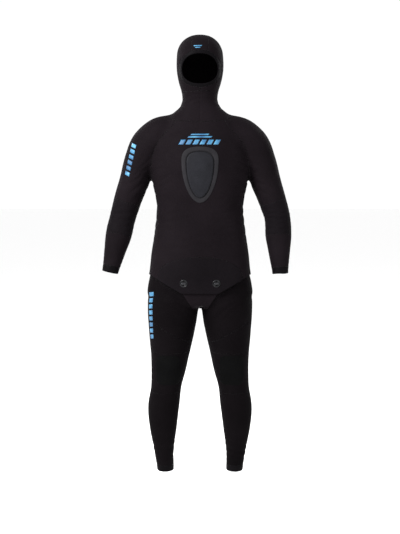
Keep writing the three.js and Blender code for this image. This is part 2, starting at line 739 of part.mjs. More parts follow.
// The stomach panel carries the eyelets and the tail carries the buttons.
let stomachPanel = stomach;
let tail = tailSolid();
for (const [name, side] of Object.entries(SIDES)) {
  const seat = buttonSeat(side);
  // A button's own +Y points out of the suit.
  const place = new THREE.Matrix4()
    .makeTranslation(seat.x, seat.y, BUTTON_HEIGHT)
    .multiply(new THREE.Matrix4().makeRotationZ(Math.PI + seat.turn));
  for (const [part, [made, material]] of Object.entries(buttonParts())) {
    parts[`${name}_${part}`] = [made, material, place];
  }
  const pressed = turned(BUTTON_PLATE_RADIUS + SEAM_GAP, plateFrom - SEAM_GAP, 60);
  tail = tail.subtract(pressed.transform(place.toArray()));
  stomachPanel = stomachPanel.subtract(eyeletSeat().transform(place.toArray()));
}
parts.tail = [tail, NEOPRENE];
parts.stomach_panel = [stomachPanel, STRETCH];

// ---------------------------------------------------------------- the scene
function meshOf(name, [made, material, place]) {
  const { vertProperties, triVerts } = made.getMesh();
  const geometry = new THREE.BufferGeometry();
  geometry.setAttribute("position", new THREE.BufferAttribute(vertProperties, 3));
  geometry.setIndex(new THREE.BufferAttribute(triVerts, 1));
  geometry.computeVertexNormals();
  const mesh = new THREE.Mesh(geometry, material);
  mesh.name = name;
  if (place) mesh.applyMatrix4(place);
  return mesh;
}

const wetsuit = new THREE.Group();
for (const [name, part] of Object.entries(parts)) wetsuit.add(meshOf(name, part));
wetsuit.position.z = -ORIGIN_HEIGHT;

export default wetsuit;
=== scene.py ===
import json
import math

import bpy
import numpy as np
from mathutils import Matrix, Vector, kdtree, noise
from mathutils.bvhtree import BVHTree


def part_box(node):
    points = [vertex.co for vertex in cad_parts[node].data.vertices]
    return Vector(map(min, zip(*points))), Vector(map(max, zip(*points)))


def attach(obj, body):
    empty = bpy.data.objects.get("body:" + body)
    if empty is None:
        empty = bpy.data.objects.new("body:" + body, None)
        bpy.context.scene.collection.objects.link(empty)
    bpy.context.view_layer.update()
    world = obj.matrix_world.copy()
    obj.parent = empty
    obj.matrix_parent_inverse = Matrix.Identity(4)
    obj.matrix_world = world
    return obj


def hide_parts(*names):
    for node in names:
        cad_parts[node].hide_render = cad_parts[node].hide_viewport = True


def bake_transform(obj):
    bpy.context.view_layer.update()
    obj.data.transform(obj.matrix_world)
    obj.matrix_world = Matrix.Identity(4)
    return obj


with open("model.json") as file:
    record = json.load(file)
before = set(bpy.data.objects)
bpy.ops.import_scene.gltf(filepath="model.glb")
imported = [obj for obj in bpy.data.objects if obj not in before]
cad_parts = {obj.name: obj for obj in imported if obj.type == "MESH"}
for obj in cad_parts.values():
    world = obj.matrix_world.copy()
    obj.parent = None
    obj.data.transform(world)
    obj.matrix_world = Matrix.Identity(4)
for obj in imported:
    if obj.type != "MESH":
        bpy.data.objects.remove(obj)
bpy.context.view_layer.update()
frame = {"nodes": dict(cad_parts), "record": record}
RECORD = frame["record"]
BODY_OF = {n: b for b, nodes in RECORD["behaviour"]["bodies"].items() for n in nodes}
SLOT_OF = {s["node"]: s["material_slot"] for s in RECORD["subparts"]}
SIDES = {"right": -1, "left": 1}

# ---------------------------------------------------------------- sizes, in metres
GROUND = -1.51  # the ground that the wearer stands on, below the part's origin
VOXEL = 0.0055
NEOPRENE = 0.0046  # a panel's thickness, a little under the CAD panel's
LAYER_GAP = 0.0006
TAIL_THICKNESS = 0.0046
SEAM_WIDTH = 0.0026  # half the width of the dip at a sewn seam
SEAM_DEPTH = 0.0009
STITCH_STEP = 0.0031
STITCH_HALF_WIDTH = 0.0016
STITCH_LIFT = 0.0007
THREAD_RADIUS = 0.00032
SHORTEST_EDGE = 0.0006
SNAP = 1e-5  # a point this near a cut counts as on it
SEAM_SMOOTHING = 7  # rounds that even out the corners of the CAD panels' edges
SKIN_SMOOTHING = 8  # rounds that even out the voxels' steps and keep the skin's size
CREASE_SMOOTHING = 26  # rounds that round off where two bodies meet
TINY = 1e-9  # keeps a division from failing where a length is nothing
WELL_INSIDE = -0.05  # an opening's value where the fabric is whole in any case


# ---------------------------------------------------------------- camera and light
def make_camera():
    data = bpy.data.cameras.new("camera")
    data.lens = 59.4
    camera = bpy.data.objects.new("camera", data)
    bpy.context.scene.collection.objects.link(camera)
    camera.location = (0, -3.4, 1.25 + GROUND)
    camera.rotation_euler = (math.radians(90 - 5.42), 0, 0)
    bpy.context.scene.camera = camera


def area_light(name, place, target, size, power, color=(1, 1, 1)):
    data = bpy.data.lights.new(name, "AREA")
    data.shape = "RECTANGLE"
    data.size, data.size_y = size
    data.energy = power
    data.color = color
    light = bpy.data.objects.new(name, data)
    bpy.context.scene.collection.objects.link(light)
    light.location = place
    aim = Vector(target) - Vector(place)
    light.rotation_euler = aim.to_track_quat("-Z", "Y").to_euler()


def make_light():
    world = bpy.data.worlds.new("studio")
    bpy.context.scene.world = world
    world.use_nodes = True
    background = world.node_tree.nodes["Background"]
    background.inputs["Color"].default_value = (1, 1, 1, 1)
    background.inputs["Strength"].default_value = 1.02
    middle = (0, 0, -0.5)
    area_light("key", (-2.2, -2.0, 1.3), (0, 0, -0.05), (1.0, 1.4), 240)
    area_light("fill", (2.6, -2.0, 0.4), middle, (1.4, 2.2), 28)
    area_light("rim_right", (-1.8, 1.6, 0.8), middle, (0.8, 2.0), 30)
    area_light("rim_left", (1.8, 1.6, 0.8), middle, (0.8, 2.0), 30)


def make_floor():
    mesh = bpy.data.meshes.new("floor")
    half = 40
    corners = [(-half, -half), (half, -half), (half, half), (-half, half)]
    mesh.from_pydata([(x, y, GROUND) for x, y in corners], [], [(0, 1, 2, 3)])
    floor = bpy.data.objects.new("floor", mesh)
    bpy.context.scene.collection.objects.link(floor)
    material = bpy.data.materials.new("studio_floor")
    material.use_nodes = True
    shader = material.node_tree.nodes["Principled BSDF"]
    shader.inputs["Base Color"].default_value = (0.95, 0.95, 0.95, 1)
    shader.inputs["Roughness"].default_value = 0.7
    mesh.materials.append(material)


# ---------------------------------------------------------------- the wearer's shape
# Rows in millimetres above the ground: centre x, y, z, half width, depth to the front and back.
def upright(z, half, front, back, x=0, y=0):
    return (x, y, z, half, front, back)


HIPS = [
    upright(788, 188, 88, 104),
    upright(822, 203, 102, 121),
    upright(864, 200, 104, 123),
    upright(905, 191, 104, 121),
]
HOOD_TOP = 1722  # where the dome over the head begins
DOME_HEIGHT = 86
DOME_ROUNDNESS = 2.15
DOME_RISES = (0.3, 0.5, 0.66, 0.78, 0.87, 0.93, 0.97, 0.992, 0.9995)


def dome_row(rise):
    share = (1 - rise**DOME_ROUNDNESS) ** (1 / DOME_ROUNDNESS)
    return upright(HOOD_TOP + DOME_HEIGHT * rise, *(size * share for size in (88, 103, 103)))


TORSO = [
    upright(980, 188, 117, 112),
    upright(1070, 174, 113, 101),
    upright(1163, 166, 112, 102),
    upright(1255, 182, 120, 115),
    upright(1330, 188, 123, 123),
    upright(1400, 180, 110, 119),
    upright(1450, 162, 92, 108),
    upright(1488, 138, 79, 95),
    upright(1514, 106, 70, 85),
    upright(1534, 81, 65, 77),
    upright(1556, 69, 65, 74),
    upright(1592, 69, 78, 73),
    upright(1630, 80, 97, 83),
    upright(1675, 88, 105, 98),
    upright(HOOD_TOP, 88, 103, 103),
    *(dome_row(rise) for rise in DOME_RISES),
]
JACKET_OVER_HIPS = np.array([0, 0, 0, 5.6, 14.2, 5.6])
UNDER_JACKET = np.array([0, 0, 0, 5.6, 5.6, 5.6])
BELOW_HEM = np.array([0, 0, -70, 0, 0, 0])


def trunk_rows():
    over = [np.array(row) + JACKET_OVER_HIPS for row in HIPS[1:]]
    return np.array([over[0] + BELOW_HEM, *over, *TORSO], float)


def pelvis_rows():
    under = [np.array(row) - UNDER_JACKET for row in TORSO[:3]]
    return np.array([*HIPS, *under], float)


def leg_rows(side):
    rows = [
        upright(100, 32, 37, 45, side * 137, 10),
        upright(122, 33, 38, 46, side * 137, 10),
        upright(193, 38, 42, 50, side * 142, 8),
        upright(290, 53, 50, 66, side * 145, 6),
        upright(386, 62, 56, 72, side * 142, 4),
        upright(460, 60, 58, 62, side * 132, 0),
        upright(520, 67, 64, 62, side * 123, -2),
        upright(578, 74, 72, 70, side * 117, -2),
        upright(673, 88, 86, 88, side * 110, 0),
        upright(767, 99, 96, 108, side * 104, 0),
        upright(806, 101, 99, 113, side * 101, 0),
        upright(856, 90, 84, 100, side * 98, 0),
    ]
    return np.array(rows, float)


ELBOW = np.array([300, 16, 1116])
FOREARM_LENGTH = 210
FOREARM_SPREAD = {"right": 12.5, "left": 2.5}  # degrees from the upright
WRIST_FORWARD = 42  # how far the wrist is in front of the elbow


def sleeve_rows(name):
    side = SIDES[name]
    tilt = math.radians(FOREARM_SPREAD[name])

    def below(share, half, front, back):
        x = ELBOW[0] + math.sin(tilt) * FOREARM_LENGTH * share
        z = ELBOW[2] - math.cos(tilt) * FOREARM_LENGTH * share
        return (side * x, ELBOW[1] - WRIST_FORWARD * share, z, half, front, back)

    rows = [
        (84, 6, 1452, 64, 64, 70),
        (146, 6, 1428, 76, 74, 82),
        (193, 8, 1396, 71, 74, 80),
        (226, 10, 1336, 64, 66, 70),
        (254, 12, 1256, 57, 60, 62),
        (279, 14, 1186, 53, 54, 56),
        (*ELBOW, 50, 50, 52),
    ]
    arm = [(side * x, y, z, half, front, back) for x, y, z, half, front, back in rows]
    lower = [below(0.32, 50, 48, 50), below(0.66, 40, 40, 40), below(1, 31, 30, 30)]
    return np.array([*arm, *lower, below(1.1, 30.5, 29.5, 29.5)], float)


def catmull(rows, per_span):
    """Rows interpolated along a Catmull-Rom curve."""
    padded = np.vstack([2 * rows[0] - rows[1], rows, 2 * rows[-1] - rows[-2]])
    out = []
    for i in range(1, len(padded) - 2):
        p0, p1, p2, p3 = padded[i - 1 : i + 3]
        gap = [max(np.linalg.norm(q[:3] - p[:3]), 1e-6) for p, q in ((p0, p1), (p1, p2), (p2, p3))]
        m1 = ((p1 - p0) / gap[0] * gap[1] + (p2 - p1) / gap[1] * gap[0]) / (gap[0] + gap[1])
        m2 = ((p2 - p1) / gap[1] * gap[2] + (p3 - p2) / gap[2] * gap[1]) / (gap[1] + gap[2])
        for t in np.linspace(0, 1, per_span, endpoint=False):
            h = (2 * t**3 - 3 * t**2 + 1, t**3 - 2 * t**2 + t, -2 * t**3 + 3 * t**2, t**3 - t**2)
            out.append(h[0] * p1 + h[1] * gap[1] * m1 + h[2] * p2 + h[3] * gap[1] * m2)
    return np.array([*out, rows[-1]])


def unit(vectors, least=TINY):
    return vectors / np.maximum(np.linalg.norm(vectors, axis=-1, keepdims=True), least)


def in_frame(points):
    """Points above the ground in millimetres, as points of the part's frame in metres."""
    return points / 1000 + np.array([0, 0, GROUND])


def band(low, high, around):
    """Quads between two closed rings, which begin at the points numbered low and high."""
    turned = [(i + 1) % around for i in range(around)]
    return [(low + i, low + j, high + j, high + i) for i, j in enumerate(turned)]


def superellipse(angle, squareness):
    """Points of a rounded square one unit out, and of a circle where squareness is 2."""
    return [np.sign(t) * np.abs(t) ** (2 / squareness) for t in (np.cos(angle), np.sin(angle))]


def section_axes(rows, is_upright):
    """The side and depth directions of each row's section."""
    count = len(rows)
    if is_upright:
        return np.tile([1.0, 0, 0], (count, 1)), np.tile([0, 1.0, 0], (count, 1))
    along = unit(np.gradient(rows[:, :3], axis=0))
    side = unit(np.cross([0, 1.0, 0], along))
    return side, np.cross(along, side)


def loft(rows, is_upright, squareness=2.0, around=96, per_span=8):
    """A closed body through elliptical sections: (points, faces)."""
    rows = catmull(rows, per_span)
    side, depth = section_axes(rows, is_upright)
    angle = np.linspace(0, 2 * math.pi, around, endpoint=False)
    across, along = superellipse(angle, squareness)
    reach = np.where(along < 0, rows[:, 4:5], rows[:, 5:6])
    ring = (
        rows[:, None, :3]
        + side[:, None, :] * (rows[:, 3:4] * across)[:, :, None]
        + depth[:, None, :] * (reach * along)[:, :, None]
    )
    points = np.vstack([ring.reshape(-1, 3), rows[0, :3], rows[-1, :3]])
    last = len(rows) - 1
    faces = []
    for r in range(last):
        faces += band(r * around, (r + 1) * around, around)
    bottom, top = len(points) - 2, len(points) - 1
    for i in range(around):
        j = (i + 1) % around
        faces.append((bottom, j, i))
        faces.append((top, last * around + i, last * around + j))
    return in_frame(points), faces


# ---------------------------------------------------------------- skins
def new_mesh(name, points, faces):
    mesh = bpy.data.meshes.new(name)
    mesh.from_pydata([tuple(p) for p in points], [], [tuple(f) for f in faces])
    mesh.validate()
    mesh.polygons.foreach_set("use_smooth", [True] * len(mesh.polygons))
    return mesh


def add_object(name, mesh):
    piece = bpy.data.objects.new(name, mesh)
    bpy.context.scene.collection.objects.link(piece)
    return piece


def joined(parts):
    """Several (points, faces) as one."""
    points, faces, base = [], [], 0
    for p, f in parts:
        points.append(p)
        faces += [tuple(i + base for i in face) for face in f]
        base += len(p)
    return np.vstack(points), faces


def directed_edges(triangles):
    return np.vstack([triangles[:, [0, 1]], triangles[:, [1, 2]], triangles[:, [2, 0]]])


def fused(bodies):
    """Overlapping closed bodies as one even skin: (points, triangles)."""
    scratch = add_object("scratch", new_mesh("scratch", *joined(bodies)))
    remesh = scratch.modifiers.new("remesh", "REMESH")
    remesh.mode = "VOXEL"
    remesh.voxel_size = VOXEL
    dg = bpy.context.evaluated_depsgraph_get()
    mesh = bpy.data.meshes.new_from_object(scratch.evaluated_get(dg))
    mesh.calc_loop_triangles()
    v = np.zeros(len(mesh.vertices) * 3, np.float32)
    mesh.vertices.foreach_get("co", v)
    t = np.zeros(len(mesh.loop_triangles) * 3, np.int32)
    mesh.loop_triangles.foreach_get("vertices", t)
    bpy.data.objects.remove(scratch)
    return v.reshape(-1, 3).astype(float), t.reshape(-1, 3).astype(int)


def edges_of(triangles):
    return np.unique(np.sort(directed_edges(triangles), axis=1), axis=0)


def neighbour_mean(values, edges, count):
    degree = np.bincount(edges.ravel(), minlength=count)
    out = np.empty_like(values)
    for k in range(values.shape[1]):
        out[:, k] = np.bincount(edges[:, 0], values[edges[:, 1], k], count)
        out[:, k] += np.bincount(edges[:, 1], values[edges[:, 0], k], count)
    return out / np.maximum(degree, 1)[:, None]


def relaxed(points, edges, times, share=0.5):
    points = points.copy()
    for _ in range(times):
        points += share * (neighbour_mean(points, edges, len(points)) - points)
    return points


def near(points, centre, radius):
    """1 at centre, falling smoothly to 0 at radius, as a column."""
    d = np.linalg.norm(points - np.array(centre), axis=1) / radius
    return (np.clip(1 - d**2, 0, 1) ** 2)[:, None]


def vertex_normals(points, triangles):
    a, b, c = (points[triangles[:, k]] for k in range(3))
    face = np.cross(b - a, c - a)
    normals = np.zeros_like(points)
    for k in range(3):
        for axis in range(3):
            normals[:, axis] += np.bincount(triangles[:, k], face[:, axis], len(points))
    return unit(normals, 1e-12)


LEAST_AGREEMENT = 0.92  # the cosine between a point's normal and its neighbours' mean


def steadied(normals, triangles):
    """Normals where each one that strays from its neighbours' mean takes that mean."""
    edges = edges_of(triangles)
    for _ in range(4):
        around = unit(neighbour_mean(normals, edges, len(normals)))
        astray = (normals * around).sum(axis=1) < LEAST_AGREEMENT
        normals[astray] = around[astray]
    return normals


class Skin:
    """A triangle skin with named values at its points, which can be cut along their zeros."""

    def __init__(self, points, triangles):
        self.points = points
        self.triangles = triangles
        self.values = {}

    def cut(self, field):
        """Cuts the triangles where the named value is zero."""
        f = self.values[field]
        f[np.abs(f) < SNAP] = 0
        corners = f[self.triangles]
        low, high = (corners < 0).sum(axis=1), (corners > 0).sum(axis=1)
        halved = (low == 1) & (high == 1)  # the third corner is on the cut
        crossed = (low > 0) & (high > 0) & ~halved
        three, two = self.triangles[crossed], self.triangles[halved]
        below = f[three] < 0
        alone = np.where(below.sum(axis=1) == 1, below.argmax(axis=1), (~below).argmax(axis=1))
        rows = np.arange(len(three))
        a, b, c = (three[rows, (alone + k) % 3] for k in range(3))
        on_cut = (f[two] == 0).argmax(axis=1)
        rows = np.arange(len(two))
        d, e, g = (two[rows, (on_cut + k) % 3] for k in range(3))
        pairs = np.sort(np.stack([np.concatenate([a, a, e]), np.concatenate([b, c, g])], 1), 1)
        if not len(pairs):
            return
        unique, back = np.unique(pairs, axis=0, return_inverse=True)
        back = back.ravel() + len(self.points)
        i, j = unique[:, 0], unique[:, 1]
        share = (f[i] / (f[i] - f[j]))[:, None]
        crossings = self.points[i] * (1 - share) + self.points[j] * share
        self.points = np.vstack([self.points, crossings])
        for name, value in self.values.items():
            s = share if value.ndim > 1 else share[:, 0]
            made = value[i] * (1 - s) + value[j] * s
            if name == field:
                made[:] = 0
            self.values[name] = np.concatenate([value, made])
        n = len(a)
        ab, ac, eg = back[:n], back[n : 2 * n], back[2 * n :]
        parts = [(a, ab, ac), (ab, b, c), (ab, c, ac), (d, e, eg), (d, eg, g)]
        made = [np.stack(part, 1) for part in parts]
        self.triangles = np.vstack([self.triangles[~crossed & ~halved], *made])

    def keep(self, mask):
        self.triangles = self.triangles[mask]


def node_tree(name):
    mesh = frame["nodes"][name].data
    mesh.calc_loop_triangles()
    return BVHTree.FromPolygons(
        [v.co for v in mesh.vertices], [tuple(t.vertices) for t in mesh.loop_triangles]
    )


def distances(points, name, reach=0.035):
    """How far each point is from a CAD node, up to reach."""
    low, high = (np.array(c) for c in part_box(name))
    out = np.full(len(points), 2 * reach)
    inside = ((points > low - reach) & (points < high + reach)).all(axis=1)
    tree = node_tree(name)
    for i in np.flatnonzero(inside):
        hit = tree.find_nearest(Vector(points[i]), reach)
        if hit[0] is not None:
            out[i] = hit[3]
    return out


# ---------------------------------------------------------------- folds
def fold_field(points, folds):
    """The height of soft compression folds. A fold group is (centre, across, along, (pitch,
    height), (reach across, along, through)): its ridges run along, one pitch apart."""
    total = np.zeros(len(points))
    for centre, across, along, (pitch, tall), (ra, rl, rt) in folds:
        across = np.array(across, float) / np.linalg.norm(across)
        along = np.array(along, float) / np.linalg.norm(along)
        through = np.cross(across, along)
        rel = points - np.array(centre)
        u, v, w = rel @ across, rel @ along, rel @ through
        mask = np.exp(-((u / ra) ** 2) - (v / rl) ** 2 - (w / rt) ** 2)
        live = mask > 0.02
        bend = np.array([noise.noise(Vector(p) * 14) for p in points[live]])
        phase = u[live] / pitch + 0.9 * bend + 0.45 * (v[live] / rl) ** 2
        ridge = np.abs(np.sin(math.pi * phase)) ** 0.75 - 0.62  # which is 0 on average
        total[live] += tall * mask[live] * ridge
    return total


def cloth_noise(points, scale, tall):
    return tall * np.array([noise.noise(Vector(p) * scale) for p in points])


def at(x, y, z):
    return (x / 1000, y / 1000, z / 1000 + GROUND)


def jacket_folds():
    folds = [
        # round the neck
        (at(0, -20, 1548), (0, 0.2, 1), (1, 0, 0), (0.021, 0.0016), (0.028, 0.2, 0.2)),
        # across the waist, and above the stomach panel's arch
        (at(-150, -20, 1120), (0.25, 0, 1), (1, 0.3, 0), (0.036, 0.0030), (0.08, 0.08, 0.12)),
        (at(150, -20, 1120), (-0.25, 0, 1), (1, -0.3, 0), (0.036, 0.0030), (0.08, 0.08, 0.12)),
        (at(0, -110, 1010), (0, 0, 1), (1, 0, 0), (0.040, 0.0012), (0.05, 0.12, 0.05)),
        (at(0, 105, 1090), (0, 0, 1), (1, 0, 0), (0.038, 0.0030), (0.075, 0.14, 0.06)),
    ]
    for name, side in SIDES.items():
        tilt = math.sin(math.radians(FOREARM_SPREAD[name]))
        arm = (side * 0.2, -0.1, -1)
        fore = (side * tilt, -0.2, -1)
        wrist = side * (ELBOW[0] + FOREARM_LENGTH * tilt * 0.8)
        folds += [
            # from the armpit over the chest and over the sleeve
            (
                at(side * 172, -75, 1290), (side * 0.55, 0, 0.8), (side, 0, -0.7),
                (0.027, 0.0038), (0.055, 0.055, 0.07),
            ),
            (
                at(side * 172, 85, 1290), (side * 0.55, 0, 0.8), (side, 0, -0.7),
                (0.029, 0.0036), (0.055, 0.055, 0.07),
            ),
            (
                at(side * 226, -30, 1240), (side * 0.35, 0, 1), (1, 0, side * -0.4),
                (0.026, 0.0032), (0.055, 0.055, 0.08),
            ),
            # inside the elbow
            (at(side * 300, -25, 1116), arm, (1, 0, 0), (0.020, 0.0040), (0.05, 0.05, 0.05)),
            (at(side * 290, 40, 1150), arm, (1, 0.2, 0), (0.026, 0.0010), (0.06, 0.05, 0.05)),
            # above the wrist
            (at(wrist, -18, 948), fore, (1, 0, 0), (0.015, 0.0015), (0.03, 0.06, 0.06)),
        ]
    return folds


def trouser_folds():
    folds = []
    for side in SIDES.values():
        folds += [
            # out of the crotch over the thigh
            (
                at(side * 70, -85, 790), (side * -0.55, 0, 1), (side, 0, 0.5),
                (0.026, 0.0030), (0.055, 0.09, 0.05),
            ),
            (
                at(side * 60, 95, 770), (side * 0.3, 0, 1), (1, 0, side * -0.3),
                (0.03, 0.0036), (0.06, 0.08, 0.05),
            ),
            (at(side * 60, 0, 700), (0, 0, 1), (0, 1, 0), (0.03, 0.0016), (0.07, 0.08, 0.03)),
            # round the knee, most of them at the back
            (at(side * 121, 60, 500), (0, 0, 1), (1, 0, 0), (0.022, 0.0040), (0.045, 0.07, 0.05)),
            (
                at(side * 124, -60, 452), (side * 0.15, 0, 1), (1, 0, 0),
                (0.026, 0.0014), (0.03, 0.06, 0.05),
            ),
            (
                at(side * 118, -60, 606), (side * -0.15, 0, 1), (1, 0, 0),
                (0.026, 0.0012), (0.03, 0.06, 0.05),
            ),
            # above the ankle
            (
                at(side * 141, -10, 215), (side * 0.1, 0.15, 1), (1, 0.2, 0),
                (0.026, 0.0030), (0.05, 0.09, 0.09),
            ),
        ]
    return folds


# ---------------------------------------------------------------- openings and hems
FACE_SEAL_WIDTH = 0.009
FACE_ROUNDNESS = 2.25


def hood_values():
    """The face opening's centre and half sizes, from the seal that edges it."""
    low, high = (np.array(c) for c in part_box("face_seal"))
    half = (high - low) / 2
    return (low[2] + high[2]) / 2, half[0] - FACE_SEAL_WIDTH, half[2] - FACE_SEAL_WIDTH


def face_opening(points):
    """Below zero in the fabric, above zero in the face opening."""
    middle, half_width, half_height = hood_values()
    across = np.abs(points[:, 0]) / half_width
    up = np.abs(points[:, 2] - middle) / half_height
    share = (across**FACE_ROUNDNESS + up**FACE_ROUNDNESS) ** (1 / FACE_ROUNDNESS)
    inside = (1 - share) * half_height
    return np.where(points[:, 1] < 0, inside, WELL_INSIDE)


CLEAR_OF_TRUNK = 0.225  # further out than this from the middle, all cloth is a sleeve's


def mount_plane(points, mount, beyond=0):
    """How far each point lies out past a hem's mount, on its side and beyond a width."""
    found = next(m for m in RECORD["mounts"] if m["name"] == mount)
    far = (points - np.array(found["pos_m"])) @ np.array(found["axis"])
    its_side = points[:, 0] * np.sign(found["pos_m"][0]) > beyond
    return np.where(its_side, far, WELL_INSIDE)


HEM_FRONT_HALF_WIDTH = 0.07
HEM_SIDE_HALF_WIDTH = 0.186
HEM_SLOPE_COSINE = 0.87
HEM_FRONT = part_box("stomach_panel")[0].z
HEM_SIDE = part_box("right_side_panel")[0].z


def below_hem(points):
    """Above zero below the jacket's hem, which rises from the front tab to the sides."""
    x = np.abs(points[:, 0])
    rise = (x - HEM_FRONT_HALF_WIDTH) / (HEM_SIDE_HALF_WIDTH - HEM_FRONT_HALF_WIDTH)
    hem = HEM_FRONT + np.clip(rise, 0, 1) * (HEM_SIDE - HEM_FRONT)
    return (hem - points[:, 2]) * HEM_SLOPE_COSINE


def drop_past(skin, field):
    """Cuts the skin where field crosses zero and drops what lies past it."""
    skin.values["open"] = field(skin.points)
    skin.cut("open")
    skin.keep(skin.values["open"][skin.triangles].mean(axis=1) < 0)


# ---------------------------------------------------------------- seams
def shared_edges(triangles, labels):
    """Edges between two panels, and the edges of the openings, as pairs of points."""
    directed = directed_edges(triangles)
    owner = np.tile(labels, 3)
    pair = np.sort(directed, axis=1)
    order = np.lexsort((pair[:, 1], pair[:, 0]))
    pair, owner = pair[order], owner[order]
    twin = (pair[1:] == pair[:-1]).all(axis=1)
    first = np.flatnonzero(twin)
    differs = owner[first] != owner[first + 1]
    single = np.ones(len(pair), bool)
    single[first] = single[first + 1] = False
    seams = pair[first[differs]]
    owners = np.stack([owner[first[differs]], owner[first[differs] + 1]], 1)
    return seams, owners, pair[single]


def along_edges(points, pairs, count=7):
    """Evenly spaced points on each edge."""
    t = np.linspace(0, 1, count)[None, :, None]
    a, b = points[pairs[:, 0]][:, None, :], points[pairs[:, 1]][:, None, :]
    return (a * (1 - t) + b * t).reshape(-1, 3)


def point_tree(points):
    tree = kdtree.KDTree(len(points))
    for i, p in enumerate(points):
        tree.insert(p, i)
    tree.balance()
    return tree


def distance_to(points, samples, reach=0.03):
    """How far each point is from the nearest sample, up to reach."""
    tree = point_tree(samples)
    return np.array([min(tree.find(p)[2], reach) for p in points])


def chin_seam(skin):
    """Points down the middle of the collar's front, a seam inside one panel."""
    low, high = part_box("neck_collar")
    p = skin.points
    wanted = (np.abs(p[:, 0]) < 1e-6) & (p[:, 1] < 0) & (p[:, 2] > low.z) & (p[:, 2] < high.z)
    line = p[wanted][np.argsort(p[wanted][:, 2])]
    return resampled(line, 0.0007)


SLIVER_ROUNDS = 3


def stitched(skin, extra=None):
    """Cuts the edges of the dip that follows the seams. Returns labels and each point's dip."""
    labels = nearest_panel(skin)
    seams, _, _ = shared_edges(skin.triangles, labels)
    samples = along_edges(skin.points, seams)
    if extra is not None:
        samples = np.vstack([samples, extra])
    skin.values["seam_distance"] = distance_to(skin.points, samples)
    skin.values["dip_edge"] = skin.values["seam_distance"] - SEAM_WIDTH
    skin.cut("dip_edge")
    close = skin.values["seam_distance"] < 2 * SEAM_WIDTH
    exact = distance_to(skin.points[close], samples)
    skin.values["seam_distance"][close] = exact
    labels = nearest_panel(skin)
    for _ in range(SLIVER_ROUNDS):
        labels = without_slivers(skin, labels)
    share = np.clip(1 - skin.values["seam_distance"] / SEAM_WIDTH, 0, 1)
    return labels, SEAM_DEPTH * share**0.8


def without_slivers(skin, labels):
    """Draws the ends of the shortest edges together, keeping seams and openings in place."""
    seams, _, openings = shared_edges(skin.triangles, labels)
    fixed = np.zeros(len(skin.points), bool)
    fixed[seams.ravel()] = fixed[openings.ravel()] = True
    edges = edges_of(skin.triangles)
    length = np.linalg.norm(skin.points[edges[:, 0]] - skin.points[edges[:, 1]], axis=1)
    target = np.arange(len(skin.points))
    busy = np.zeros(len(skin.points), bool)
    for k in np.argsort(length):
        if length[k] > SHORTEST_EDGE:
            break
        a, b = edges[k]
        if busy[a] or busy[b]:
            continue
        keep, move = (b, a) if fixed[b] and not fixed[a] else (a, b)
        target[move] = keep
        busy[keep] = busy[move] = True
    tri = target[skin.triangles]
    whole = (tri[:, 0] != tri[:, 1]) & (tri[:, 1] != tri[:, 2]) & (tri[:, 2] != tri[:, 0])
    tri, labels = tri[whole], labels[whole]
    corners = np.sort(tri, axis=1)
    _, back, count = np.unique(corners, axis=0, return_inverse=True, return_counts=True)
    single = count[back.ravel()] == 1
    skin.triangles = tri[single]
    return labels[single]


# ---------------------------------------------------------------- panels
HEM_STEPS = 5
HEM_BULGE = 0.32  # how far a hem's edge stands out, as a share of the thickness


def hem_ring(corner, normal, out, thickness, step):
    """A point of the rounded edge that joins the outer and the inner side at a hem."""
    angle = math.pi * step / HEM_STEPS
    down = 0.5 * thickness * (1 - math.cos(angle))
    return corner - normal * down + out * (HEM_BULGE * thickness * math.sin(angle) ** 0.7)


def shell_mesh(name, outer, normals, triangles, open_points, thickness):
    """A closed panel: its outer side, its inner side, and walls that are rounded at hems."""
    used, local = np.unique(triangles, return_inverse=True)
    tri = local.reshape(-1, 3)
    count = len(used)
    top, up = outer[used], normals[used]
    low = top - up * thickness
    directed = directed_edges(tri)
    key = directed[:, 0] * count + directed[:, 1]
    rim = directed[~np.isin(key, directed[:, 1] * count + directed[:, 0])]
    is_hem = open_points[used][rim].all(axis=1)
    points = [top, low]
    faces = [tuple(t) for t in tri] + [(c + count, b + count, a + count) for a, b, c in tri]
    out = np.zeros((count, 3))
    for (a, b), hem in zip(rim, is_hem):
        if hem:
            side = np.cross(top[b] - top[a], up[a])
            out[a] += side
            out[b] += side
    out = unit(out)
    base = 2 * count
    rings = {}
    extra = []
    for i in np.unique(rim[is_hem]):
        rings[i] = [i]
        for step in range(1, HEM_STEPS):
            rings[i].append(base + len(extra))
            extra.append(hem_ring(top[i], up[i], out[i], thickness, step))
        rings[i].append(i + count)
    starts, ends = set(), set()
    seam_edges = []
    for (a, b), hem in zip(rim, is_hem):
        if hem:
            for step in range(HEM_STEPS):
                ra, rb = rings[a], rings[b]
                faces.append((rb[step], ra[step], ra[step + 1], rb[step + 1]))
            starts.add(a)
            ends.add(b)
        else:
            faces.append((b, a, a + count, b + count))
            seam_edges += [(a, b), (a + count, b + count)]
    for a in starts - ends:
        faces.append((a, *reversed(rings[a][1:])))
    for b in ends - starts:
        faces.append(tuple(rings[b]))
    if extra:
        points.append(np.array(extra))
    mesh = new_mesh(name, np.vstack(points), faces)
    if seam_edges:
        size = len(mesh.vertices)
        ends = np.zeros(len(mesh.edges) * 2, np.int32)
        mesh.edges.foreach_get("vertices", ends)
        ends = np.sort(ends.reshape(-1, 2).astype(np.int64), axis=1)
        wanted = np.sort(np.array(seam_edges, np.int64), axis=1)
        sharp = np.isin(ends[:, 0] * size + ends[:, 1], wanted[:, 0] * size + wanted[:, 1])
        flags = mesh.attributes.new("sharp_edge", "BOOLEAN", "EDGE")
        flags.data.foreach_set("value", sharp)
    return mesh


def paint(piece, material):
    piece.data.materials.clear()
    piece.data.materials.append(material)


def finish_as(piece, slot, material=None):
    """Gives piece the slot's material, or another one in its place."""
    paint(piece, material or MATERIALS[slot])


